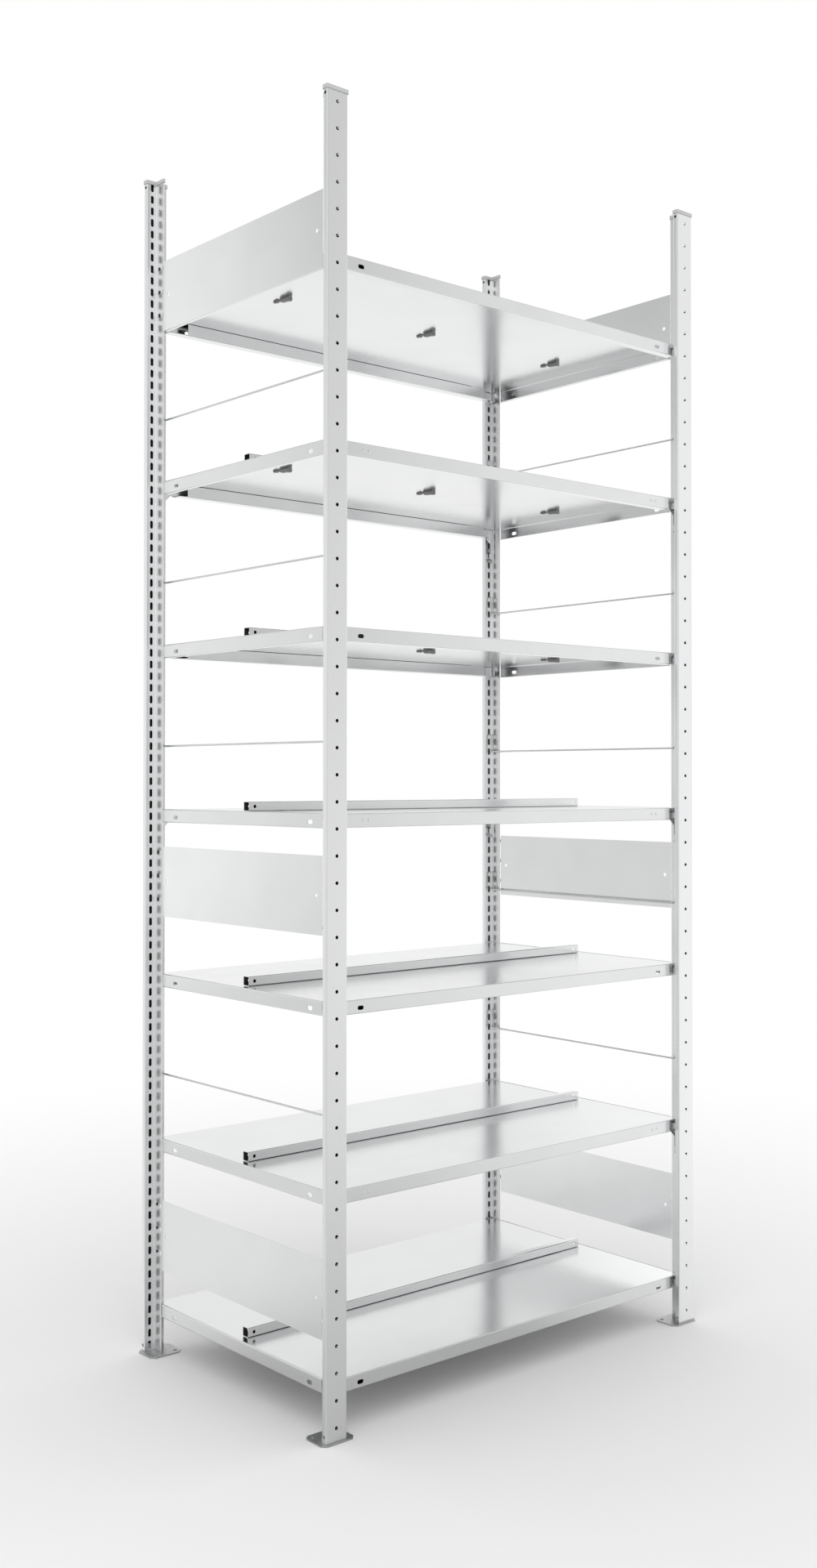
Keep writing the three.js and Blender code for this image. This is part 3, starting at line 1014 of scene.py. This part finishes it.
@dataclass(frozen=True)
class FootPlate:
    """A plate with cut corners and two anchor holes, and a tongue that stands in the post."""

    steel: bpy.types.Material
    post_x: float = 499.0 * MM
    outer: float = 33.0 * MM
    inner: float = 43.0 * MM
    far_y: float = 325.5 * MM
    near_y: float = 263.5 * MM
    chamfer: float = 9.0 * MM
    thickness: float = 3.0 * MM
    hole: float = 9.0 * MM
    hole_steps: int = 20
    inset: float = 12.0 * MM
    tongue_half: float = 22.4 * MM
    tongue_y: tuple[float, float] = (310.4 * MM, 318.4 * MM)
    rounding: float = 0.35 * MM

    def build(self, corner: Corner) -> None:
        """Builds the foot plate of one corner, as two mirrored halves with one hole each.

        Args:
            corner: The corner.
        """
        node = f"foot_plate_{corner.name}"
        _, high = node_box(node)
        middle = self.post_x + (self.outer - self.inner) / 2.0
        half, low, top = (self.outer + self.inner) / 2.0, self.near_y, self.far_y
        outline = [
            (0.0, low), (half - self.chamfer, low), (half, low + self.chamfer),
            (half, top - self.chamfer), (half - self.chamfer, top), (0.0, top),
        ]
        side = pierced(outline, (half - self.inset, low + self.inset), self.hole / 2.0, self.hole_steps)
        right, left = [side.moved((middle, 0.0, self.thickness), (sign, 1, 1)) for sign in (1, -1)]
        plate = right.joined(left).welded().thick(self.thickness)
        wide = (self.post_x - self.tongue_half, self.post_x + self.tongue_half)
        shell = plate.joined(block(wide, self.tongue_y, self.thickness / 2.0, high[2]))
        make_piece(node, "sheet", corner.mirrored(shell), self.steel, self.rounding)


@dataclass(frozen=True)
class Hook:
    """A blade that reaches through a post slot and drops behind its lower edge."""

    x: float = 487.0 * MM
    thickness: float = 2.6 * MM
    tip: float = 312.8 * MM
    nose: float = 2.4 * MM
    drop: float = 3.6 * MM
    height: float = 13.0 * MM
    seat: float = 8.2 * MM

    def blade(self, root: float, slot: float) -> Shell:
        """Returns one blade.

        Args:
            root: Place in y where it starts.
            slot: Height of the middle of its slot.

        Returns:
            The blade of the corner with positive x and y.
        """
        seat = slot - self.seat
        top, low, neck = seat + self.height, seat - self.drop, self.tip - self.nose
        lead = self.nose / 2.0
        outline = [
            (root, seat), (neck, seat), (neck, low), (self.tip - lead, low), (self.tip, low + lead),
            (self.tip, top - lead), (self.tip - lead, top), (root, top),
        ]
        half = self.thickness / 2.0
        return prism(outline, Axis.X, self.x - half, self.x + half)


@dataclass(frozen=True)
class Shelf:
    """A shelf folded from one sheet, with box folded long edges and lipped short edges."""

    steel: bpy.types.Material
    clip_steel: bpy.types.Material
    hook: Hook = Hook()
    sheet: float = 1.0 * MM
    bend: float = 1.8 * MM
    lip: float = 26.6 * MM
    lip_y: float = 300.8 * MM
    back: float = 23.0 * MM
    upstand_gap: float = 1.8 * MM
    deck_half: float = 496.0 * MM
    upstand_half: float = 438.5 * MM
    plain_half: float = 484.0 * MM
    braced_half: float = 468.7 * MM
    braced_return_half: float = 458.0 * MM
    side_x: float = 498.7 * MM
    side_half: float = 277.0 * MM
    side_return: float = 8.0 * MM
    side_lap: float = 0.1 * MM
    oval_x: float = 426.5 * MM
    side_ovals_y: tuple[float, float] = (-239.0 * MM, 228.5 * MM)
    oval_radius: float = 4.1 * MM
    oval_stretch: float = 3.3 * MM
    oval_drop: float = 2.3 * MM
    side_oval_stretch: float = 3.8 * MM
    cell: float = 20.0 * MM
    dimple_x: tuple[float, float] = (407.0 * MM, 421.0 * MM)
    dimple_drop: float = 13.5 * MM
    dimple_radius: float = 3.0 * MM
    dimple_height: float = 0.6 * MM
    dimple_turns: tuple[float, ...] = (0.0, 0.0, 25.0, 50.0, 75.0)
    dimple_sides: int = 16
    clip_arm: float = 466.0 * MM
    clip_sheet: float = 1.5 * MM
    clip_bend: float = 6.0 * MM
    clip_root: float = 286.8 * MM
    clip_gaps: tuple[float, float] = (0.3 * MM, 1.0 * MM)
    clip_rounding: float = 0.3 * MM
    slot_drop: float = 15.0 * MM

    def build(self, level: int) -> None:
        """Builds the shelf of one level.

        Args:
            level: Level from the bottom, from 1.
        """
        node = f"shelf_{level}"
        _, high = node_box(node)
        braced = is_braced(level)
        shell = self._sheet(braced).thick(self.sheet)
        if braced:
            corners = [(corner.x, corner.y, 1) for corner in CORNERS[::-1]]
            dimples = [self._dimple(x).moved(flips=flips) for x in self.dimple_x for flips in corners]
            shell = shell.joined(*dimples)
        make_piece(node, "sheet", shell.moved((0.0, 0.0, high[2])), self.steel)
        for corner in () if braced else CORNERS:
            clip = corner.mirrored(self._clip(), high[2])
            make_piece(node, f"clip_{corner.name}", clip, self.clip_steel, self.clip_rounding)

    def _long_fold(self, braced: bool) -> tuple[Fold, np.ndarray]:
        """Lays out the profile across the shelf.

        Args:
            braced: Whether the long lips end in corner brackets.

        Returns:
            The profile, and the half length of the shelf at each of its knots.
        """
        out, back = self.lip_y, self.lip_y - self.back
        rear = [(back, -self.upstand_gap), (back, -self.lip), (out, -self.lip), (out, 0.0)]
        corners = rear + [(-y, z) for y, z in rear[::-1]]
        fold = Fold(corners, [self.bend] * len(corners), steps=3)
        lip = self.braced_half if braced else self.plain_half
        foot = self.braced_return_half if braced else self.plain_half
        halves = [self.upstand_half, foot, lip, self.deck_half, lip, foot, self.upstand_half]
        return fold, np.interp(fold.runs, np.ravel(fold.spans), np.repeat(halves, 2))

    def _sheet(self, braced: bool) -> Shell:
        """Makes the folded surface, its deck at zero height.

        A row of ovals has its middle in a band that stops short of the deck by twice their drop.

        Args:
            braced: Whether the long lips end in corner brackets, which leaves out their ovals.

        Returns:
            The surface before it gets its thickness.
        """
        fold, reach = self._long_fold(braced)
        drop = 2.0 * self.oval_drop
        bands = [(fold.spans[2][0], fold.spans[2][1] - drop), (fold.spans[4][0] + drop, fold.spans[4][1])]
        y_cells = cells(self.side_ovals_y, self.cell)
        y_lines = lines([-self.side_half, self.side_half, 0.0], divided(y_cells, CELL_PARTS))
        x_cells = cells((-self.oval_x, self.oval_x), self.cell)
        x_lines = lines([-self.deck_half, self.deck_half, 0.0], divided(x_cells, CELL_PARTS))
        stretch = (0.0, self.oval_stretch)
        rows = [] if braced else [Punch(*band, x_cells, self.oval_radius, stretch, 1) for band in bands]
        sheet = Sheet(lines(fold.runs, fold.middle(3) - y_lines, *bands), x_lines, rows)
        side = self._side(y_lines, y_cells)
        return sheet.carried(fold, Axis.X, reach).joined(side, side.moved(flips=(-1, 1, 1))).welded()

    def _side(self, y_lines: np.ndarray, y_cells: np.ndarray) -> Shell:
        """Returns the lip of the right short edge.

        Args:
            y_lines: Lines that it shares with the deck.
            y_cells: Cells of its two ovals.

        Returns:
            The lip with its return.
        """
        back, lap = self.side_x - self.side_return, self.deck_half - self.side_lap
        corners = [(-self.lip, back), (-self.lip, self.side_x), (0.0, self.side_x), (0.0, lap)]
        fold = Fold(corners, [self.bend, self.bend, self.side_x - self.deck_half, self.bend], steps=3)
        start, stop = fold.spans[1]
        band = (start, stop - 2.0 * self.oval_drop)
        row = Punch(*band, y_cells, self.oval_radius, (0.0, self.side_oval_stretch), 1)
        return Sheet(fold.runs[:-1], y_lines, [row]).carried(fold, Axis.Y)

    def _dimple(self, x: float) -> Shell:
        """Makes one clinch point on the lip.

        Its rings have the radius r cos p at the height h sin p for the turns p, and the first
        stands in the sheet.

        Args:
            x: Its place along the lip.

        Returns:
            The clinch point of the corner with positive x and y.
        """
        turns = np.radians(self.dimple_turns)
        stations = self.lip_y + self.dimple_height * np.sin(turns)
        stations[0] -= self.sheet / 2.0
        angles = TURN * np.arange(self.dimple_sides) / self.dimple_sides
        circle = np.column_stack([np.cos(angles), np.sin(angles)]) * self.dimple_radius
        centre = np.array([-self.dimple_drop, x])
        return lofted([
            Axis.Y.stack(circle * math.cos(turn) + centre, np.full(len(angles), station))
            for turn, station in zip(turns, stations)
        ])

    def _clip(self) -> Shell:
        """Makes the hooked clip behind the end of a long lip: an arm, a bend and the blade.

        Returns:
            The clip of the corner with positive x and y.
        """
        out = self.lip_y - self.sheet
        corners = [(self.hook.x, self.clip_root), (self.hook.x, out), (self.clip_arm, out)]
        fold = Fold(corners, [0.0, self.clip_bend, 0.0], steps=6)
        below, above = self.clip_gaps
        heights = np.array([-self.lip + self.sheet + below, -self.sheet - above])
        strip = Sheet(fold.runs, heights).carried(fold, Axis.Z).thick(self.clip_sheet)
        return strip.joined(self.hook.blade(self.clip_root, -self.slot_drop))


@dataclass(frozen=True)
class CornerBracket:
    """A bracket behind the end of a braced lip: an arm, a gusset and a strip down the post."""

    steel: bpy.types.Material
    hook: Hook = Hook()
    post_x: float = 499.0 * MM
    near: float = 3.0 * MM
    arm: float = 96.0 * MM
    strip: float = 11.7 * MM
    gusset: tuple[float, float] = (14.0 * MM, 13.5 * MM)
    drop: float = 83.0 * MM
    chamfer: float = 8.0 * MM
    top: float = -1.5 * MM
    low: float = -25.1 * MM
    plate_y: float = 297.3 * MM
    thickness: float = 2.0 * MM
    slots: tuple[float, float] = (-15.0 * MM, -65.0 * MM)
    rounding: float = 0.4 * MM

    def build(self, level: int, corner: Corner) -> None:
        """Builds the bracket of one corner of a level.

        Args:
            level: Level from the bottom, from 1.
            corner: The corner.
        """
        node = f"bracket_{level}_{corner.name}"
        _, high = node_box(node)
        edge = self.post_x - self.near
        strip, end = edge - self.strip, edge - self.arm
        outline = [
            (self.top, edge), (self.top, end), (self.low, end), (self.low, strip - self.gusset[0]),
            (self.low - self.gusset[1], strip), (self.chamfer - self.drop, strip),
            (-self.drop, strip + self.chamfer), (-self.drop, edge),
        ]
        plate = prism(outline, Axis.Y, self.plate_y, self.plate_y + self.thickness)
        blades = [self.hook.blade(self.plate_y + self.thickness / 2.0, slot) for slot in self.slots]
        placed = corner.mirrored(plate.joined(*blades), high[2] - self.top)
        make_piece(node, "plate", placed, self.steel, self.rounding)


@dataclass(frozen=True)
class Plug:
    """A wedge plug below a deck, with its neck through it.

    Attributes:
        plastic: Its finish.
        wedge: Places along y, half widths and depths of its rings.
        neck: Half width and half length of the neck.
        neck_z: Lowest and highest place of the neck.
        sides: Points of each ring.
    """

    plastic: bpy.types.Material
    wedge: tuple[tuple[float, float, float], ...] = (
        (-28.0 * MM, 4.9 * MM, 9.4 * MM), (-27.4 * MM, 5.5 * MM, 10.0 * MM),
        (-22.5 * MM, 5.5 * MM, 10.0 * MM), (-21.0 * MM, 4.9 * MM, 8.8 * MM),
        (-8.0 * MM, 4.6 * MM, 8.4 * MM), (0.0, 4.2 * MM, 7.6 * MM),
        (3.6 * MM, 3.8 * MM, 5.6 * MM), (4.4 * MM, 1.6 * MM, 1.2 * MM),
        (11.0 * MM, 1.6 * MM, 1.2 * MM), (12.0 * MM, 3.2 * MM, 3.4 * MM),
        (16.0 * MM, 3.4 * MM, 4.8 * MM), (24.0 * MM, 3.0 * MM, 4.0 * MM),
        (27.4 * MM, 2.7 * MM, 3.2 * MM), (28.0 * MM, 2.0 * MM, 2.0 * MM),
    )
    neck: tuple[float, float] = (3.0 * MM, 4.0 * MM)
    neck_z: tuple[float, float] = (-1.0 * MM, 2.0 * MM)
    sides: int = 24

    def shell(self) -> Shell:
        """Makes the plug, its top at zero height.

        A ring at a station is x = w s(sin t), z = d (s(cos t) - 1) / 2, where s(v) is the square
        root of |v| with the sign of v, w the half width and d the depth below the top.

        Returns:
            The wedge with its neck.
        """
        angles = TURN * np.arange(self.sides) / self.sides
        roots = [signs(wave) * np.sqrt(abs(wave)) for wave in (np.cos(angles), np.sin(angles))]
        rings = []
        for station, half, depth in self.wedge:
            flat = np.column_stack([depth * (roots[0] - 1.0) / 2.0, half * roots[1]])
            rings.append(Axis.Y.stack(flat, np.full(self.sides, station)))
        wide, deep = [(-half, half) for half in self.neck]
        return lofted(rings).joined(block(wide, deep, *self.neck_z))


@dataclass(frozen=True)
class StopRail:
    """A square tube along the middle of a shelf, held by three wedge plugs. Its inner skin gets a very dark
    finish that paints the shade inside the tube.
    """

    steel: bpy.types.Material
    hollow_shade: bpy.types.Material
    plug: Plug
    half_width: float = 9.5 * MM
    height: float = 19.0 * MM
    half_length: float = 478.0 * MM
    bend: float = 2.6 * MM
    sheet: float = 1.0 * MM
    hole_x: float = 464.0 * MM
    hole: float = 7.0 * MM
    cell: float = 14.0 * MM
    gap: float = 0.3 * MM
    lower: float = 1.0 * MM
    plug_x: float = 391.2 * MM
    plug_top: float = -0.9 * MM

    def build(self, level: int) -> None:
        """Builds the rail of one level.

        Args:
            level: Level from the bottom, from 1.
        """
        node = f"stop_rail_{level}"
        _, high = node_box(node)
        wide, top = self.half_width, float(high[2]) - self.lower
        low = top - self.height
        corners = [(-wide, low), (wide, low), (wide, top), (-wide, top)]
        fold = Fold(corners, [self.bend] * len(corners), closed=True)
        x_cells = cells((-self.hole_x, self.hole_x), self.cell)
        hole = self.hole / 2.0
        rows = [Punch(*fold.spans[span], x_cells, hole, parts=ROUND_CELL_PARTS) for span in (1, 3)]
        along = lines([-self.half_length, self.half_length], divided(x_cells, CELL_PARTS))
        shell = Sheet(fold.runs, along, rows).carried(fold, Axis.X).welded().thick(self.sheet)
        # The inner skin takes the dark finish that paints the shade inside the tube.
        make_piece(node, "tube", shell, self.steel, inside=self.hollow_shade)
        height = low - self.gap + self.plug_top
        for name, side in (("left", -1), ("middle", 0), ("right", 1)):
            plug = self.plug.shell().moved((side * self.plug_x, 0.0, height))
            make_piece(node, f"plug_{name}", plug, self.plug.plastic)


@dataclass(frozen=True)
class SidePanel:
    """A flat panel between two posts, with three lugs at each end that lie on the webs.

    The low panel also stands for the lowest wire, which the photograph does not show.
    """

    steel: bpy.types.Material
    face: float = 500.8 * MM
    sheet: float = 1.1 * MM
    half: float = 278.3 * MM
    lug_face: float = 501.8 * MM
    lug_y: float = 283.0 * MM
    tip: float = 298.0 * MM
    bend: float = 4.0 * MM
    lug_root: float = 6.0 * MM
    lug_play: float = 0.1 * MM
    base: float = 37.5 * MM
    lug_low: float = -5.7 * MM
    lug_high: float = 2.3 * MM
    lug_steps: tuple[float, ...] = (0.0, 50.0 * MM, 100.0 * MM)
    hole_y: float = 259.5 * MM
    hole: float = 8.0 * MM
    cell: float = 14.0 * MM

    def build(self, side: Side, row: Row) -> None:
        """Builds one panel.

        Args:
            side: End of the bay.
            row: Row of the panel.
        """
        end_name = side.name.lower()
        node = f"side_panel_{end_name}_{row.value}"
        low, high = node_box(node)
        fold = Fold([(-self.face, self.half), (-self.face, -self.half)], [0.0, 0.0])
        z_cells = cells(((low[2] + high[2]) / 2.0,), self.cell)
        middle = fold.middle(0)
        y_cells = cells((middle - self.hole_y, middle + self.hole_y), self.cell)
        rows = [Punch(*y_cell, z_cells, self.hole / 2.0) for y_cell in y_cells]
        sheet = Sheet(fold.runs, lines([low[2], high[2]], divided(z_cells, ROUND_CELL_PARTS)), rows)
        seats = [low[2] + self.base + step for step in self.lug_steps]
        lugs = [self._lug(seat).moved(flips=(1, end, 1)) for seat in seats for end in (1, -1)]
        shell = sheet.carried(fold, Axis.Z).welded().thick(self.sheet).joined(*lugs)
        placed = shell.moved(flips=(-side.value, 1, 1))
        piece = make_piece(node, "sheet", placed, self.steel)
        if row is Row.LOW:
            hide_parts(f"side_wire_{end_name}_1")

    def _lug(self, seat: float) -> Shell:
        """Returns the rear lug of the left panel at one slot: it jogs outward past the web.

        Args:
            seat: Height of its slot.

        Returns:
            A strip that starts in the sheet.
        """
        root = self.lug_play - self.face
        corners = [
            (-self.lug_face, self.tip), (-self.lug_face, self.lug_y),
            (root, self.half), (root, self.half - self.lug_root),
        ]
        fold = Fold(corners, [0.0, self.bend, self.bend / 2.0, 0.0], steps=3)
        strip = Sheet(fold.runs, np.array([seat + self.lug_low, seat + self.lug_high]))
        return strip.carried(fold, Axis.Z).thick(self.sheet - 2.0 * self.lug_play)


@dataclass(frozen=True)
class SideWire:
    """A bent wire across the open side, with upturned ends in the post slots."""

    steel: bpy.types.Material
    x: float = 487.0 * MM
    radius: float = 2.0 * MM
    tip: float = 312.8 * MM
    rise: float = 43.8 * MM
    leg: float = 302.3 * MM
    foot: float = 298.8 * MM
    tip_bend: float = 5.0 * MM
    run_bend: float = 8.0 * MM
    sides: int = 16

    def build(self, side: Side, number: int) -> None:
        """Builds one wire.

        Args:
            side: End of the bay.
            number: Number from the bottom, from 1.
        """
        node = f"side_wire_{side.name.lower()}_{number}"
        low, _ = node_box(node)
        run = float(low[2]) + self.radius
        half = [(self.tip, run + self.rise), (self.leg, run + self.rise), (self.foot, run)]
        radii = [0.0, self.tip_bend, self.run_bend]
        fold = Fold(half + [(-y, z) for y, z in half[::-1]], radii + radii[::-1], steps=6)
        shell = tube(fold, side.value * self.x, self.radius, self.sides)
        make_piece(node, "bar", shell, self.steel)


@dataclass(frozen=True)
class CameraSetup:
    """Camera solved from the photograph: place, turn and lens."""

    place: tuple[float, float, float] = (-2.320045, -2.637599, 1.219229)
    pitch: float = math.radians(90.751849)
    roll: float = math.radians(-0.020349)
    heading: float = math.radians(-40.730339)
    lens: float = 36.6102
    shift_y: float = -0.016180

    def build(self) -> None:
        """Adds the camera and makes it the scene's."""
        data = bpy.data.cameras.new("camera")
        data.lens = self.lens
        data.shift_y = self.shift_y
        camera = bpy.data.objects.new("camera", data)
        camera.location = self.place
        camera.rotation_euler = (self.pitch, self.roll, self.heading)
        bpy.context.scene.collection.objects.link(camera)
        bpy.context.scene.camera = camera


@dataclass(frozen=True)
class Lamp:
    """A soft square lamp that faces the middle of the bay and shows in no mirror."""

    name: str
    place: tuple[float, float, float]
    power: float
    size: float = 4.0
    aim: tuple[float, float, float] = (0.0, 0.0, 1.2)

    def build(self) -> None:
        """Adds the lamp."""
        data = bpy.data.lights.new(self.name, "AREA")
        data.size = self.size
        data.energy = self.power
        lamp = bpy.data.objects.new(self.name, data)
        lamp.visible_glossy = False
        lamp.location = self.place
        ray = [a - b for a, b in zip(self.aim, self.place)]
        yaw = math.atan2(ray[1], ray[0])
        drop = math.atan2(-ray[2], math.hypot(ray[0], ray[1]))
        lamp.rotation_euler = (math.pi / 2 - drop, 0.0, yaw - math.pi / 2)
        bpy.context.scene.collection.objects.link(lamp)


@dataclass(frozen=True)
class Studio:
    """Pale floor that fades to white, white surroundings with strips, and soft lamps.

    Attributes:
        floor_half: Half the side of the floor.
        floor_tone: Grey of the floor.
        floor_gloss: Roughness of the floor.
        fade: Distances from the bay where the floor starts and ends its fade to plain white.
        ambient: Strength of the surroundings on matt surfaces.
        strips: Strips of the mirrored surroundings.
        first_strips: More of them, which are weaker for rays that were mirrored more than once.
        again: Power of the first strips for those rays.
        depths: Depth of a ray that was mirrored once and of one that was mirrored twice.
        floor_strips: Darker sectors of the mirrored floor.
        far_strips: Darker sectors of its white part.
        zenith_loss: Share that the mirrored surroundings lose from the horizon to the zenith.
        lamps: The lamps.
    """

    floor_half: float = 40.0
    floor_tone: float = 0.86
    floor_gloss: float = 0.9
    fade: tuple[float, float] = (0.7, 3.3)
    ambient: float = 1.0
    strips: tuple[Strip, ...] = (
        Strip(math.radians(-76.0), (0.84, 1.0), 0.6),
        Strip(math.radians(35.0), (0.987, 0.996), -0.3, (0.22, 0.28)),
    )
    first_strips: tuple[Strip, ...] = (
        Strip(math.radians(151.0), (0.88, 0.94), 0.27),
        Strip(math.radians(151.0), (0.87, 0.95), 0.34, (0.21, 0.34)),
    )
    again: float = 0.3
    depths: tuple[float, float] = (2.0, 3.0)
    floor_strips: tuple[Strip, ...] = (Strip(math.radians(-128.0), (-0.05, 0.65), 0.32),)
    far_strips: tuple[Strip, ...] = (Strip(math.radians(151.0), (0.88, 0.94), 0.27),)
    zenith_loss: float = 0.65
    lamps: tuple[Lamp, ...] = (Lamp("key", (-3.5, -3.5, 4.5), 40.0), Lamp("fill", (4.0, -3.0, 3.0), 20.0))

    def build(self) -> None:
        """Adds floor, world and lamps."""
        bpy.context.scene.view_settings.view_transform = "Standard"
        self._floor()
        self._world()
        for lamp in self.lamps:
            lamp.build()

    def _floor(self) -> None:
        """Adds the floor.

        The share of plain white is a smooth step of the distance from the bay. Mirrored rays see
        darker sectors.
        """
        mesh = bpy.data.meshes.new("floor")
        half = self.floor_half
        corners = [(-half, -half, 0.0), (half, -half, 0.0), (half, half, 0.0), (-half, half, 0.0)]
        mesh.from_pydata(corners, [], [(0, 1, 2, 3)])
        floor = bpy.data.objects.new("floor", mesh)
        bpy.context.scene.collection.objects.link(floor)
        material = bpy.data.materials.new("floor")
        material.use_nodes = True
        ground = Recipe(material.node_tree)
        shader, out = ground.nodes["Principled BSDF"], ground.nodes["Material Output"]
        ground.feed(shader, {"Base Color": (*[self.floor_tone] * 3, 1.0), "Roughness": self.floor_gloss})
        place = ground.add("TexCoord", out="Object")
        fade = ground.ramp(ground.vector("LENGTH", place, out="Value"), *self.fade, 0.0, 1.0, "SMOOTHSTEP")
        share = ground.number("MULTIPLY", fade, ground.shiny())
        white = ground.add("Emission", {"Strength": ground.unmirrored(ground.around(place, self.far_strips))})
        bright = ground.mixed(share, shader.outputs[0], white)
        black = ground.add("Emission", {"Strength": 0.0})
        around = ground.unmirrored(ground.around(place, self.floor_strips))
        ground.feed(out, {"Surface": ground.mixed(around, black, bright)})
        mesh.materials.append(material)

    def _world(self) -> None:
        """Adds the surroundings.

        Matt surfaces get a plain white light. The camera sees white. A mirrored ray along the unit
        direction d sees a(d) b(d) (1 - loss max(d_z, 0)^2), where a and b are the products over
        the strips and the first strips, and b is raised to a power after a second mirroring.
        """
        world = bpy.data.worlds.new("surroundings")
        world.use_nodes = True
        world.node_tree.nodes.clear()
        sky = Recipe(world.node_tree)
        place = sky.add("TexCoord", out="Generated")
        above = sky.number("MAXIMUM", sky.add("SeparateXYZ", {0: place}, "Z"), 0.0)
        square = sky.number("MULTIPLY", above, above)
        height = sky.ramp(square, 0.0, 1.0, 1.0, 1.0 - self.zenith_loss)
        power = sky.ramp(sky.add("LightPath", out="Ray Depth"), *self.depths, 1.0, self.again)
        first = sky.number("POWER", sky.around(place, self.first_strips), power)
        both = sky.number("MULTIPLY", sky.around(place, self.strips), first)
        mirrored = sky.unmirrored(sky.number("MULTIPLY", both, height))
        matt, bright = [
            sky.add("Background", {"Color": (1.0, 1.0, 1.0, 1.0), "Strength": strength})
            for strength in (self.ambient, mirrored)
        ]
        out = sky.nodes.new("ShaderNodeOutputWorld")
        sky.feed(out, {"Surface": sky.mixed(sky.shiny(), matt, bright)})
        bpy.context.scene.world = world


def main() -> None:
    """Builds the scene in order."""
    logging.basicConfig(level=logging.INFO)
    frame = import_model()
    CameraSetup().build()
    Studio().build()
    cloud = cloud_group()
    shelf_steel, panel_steel, bracket_steel, plug_plastic = [
        finish.material(cloud) for finish in (SHELF_STEEL, PANEL_STEEL, BRACKET_STEEL, PLUG_PLASTIC)
    ]
    for node in frame["nodes"].values():
        node.data.materials.clear()
        node.data.materials.append(shelf_steel)
    # Dark finish that paints the shade in the hollows of posts and rails.
    hollow_shade_steel = HOLLOW_SHADE_STEEL.material(cloud)
    post = Post(POST_STEEL.material(cloud), hollow_shade_steel)
    cap = PostCap(CAP_PLASTIC.material(cloud))
    # The foot plates' dark grey is painted shade.
    foot = FootPlate(FOOT_SHADE_STEEL.material(cloud))
    for corner in CORNERS:
        post.build(corner)
        cap.build(corner, post)
        foot.build(corner)
    shelf = Shelf(shelf_steel, bracket_steel)
    rail = StopRail(shelf_steel, hollow_shade_steel, Plug(plug_plastic))
    bracket = CornerBracket(bracket_steel)
    for level in LEVELS:
        shelf.build(level)
        rail.build(level)
        if is_braced(level):
            for corner in CORNERS:
                bracket.build(level, corner)
    panel = SidePanel(panel_steel)
    wire = SideWire(WIRE_STEEL.material(cloud))
    for side in Side:
        for row in Row:
            panel.build(side, row)
        for number in WIRES:
            wire.build(side, number)


if __name__ == "__main__":
    main()
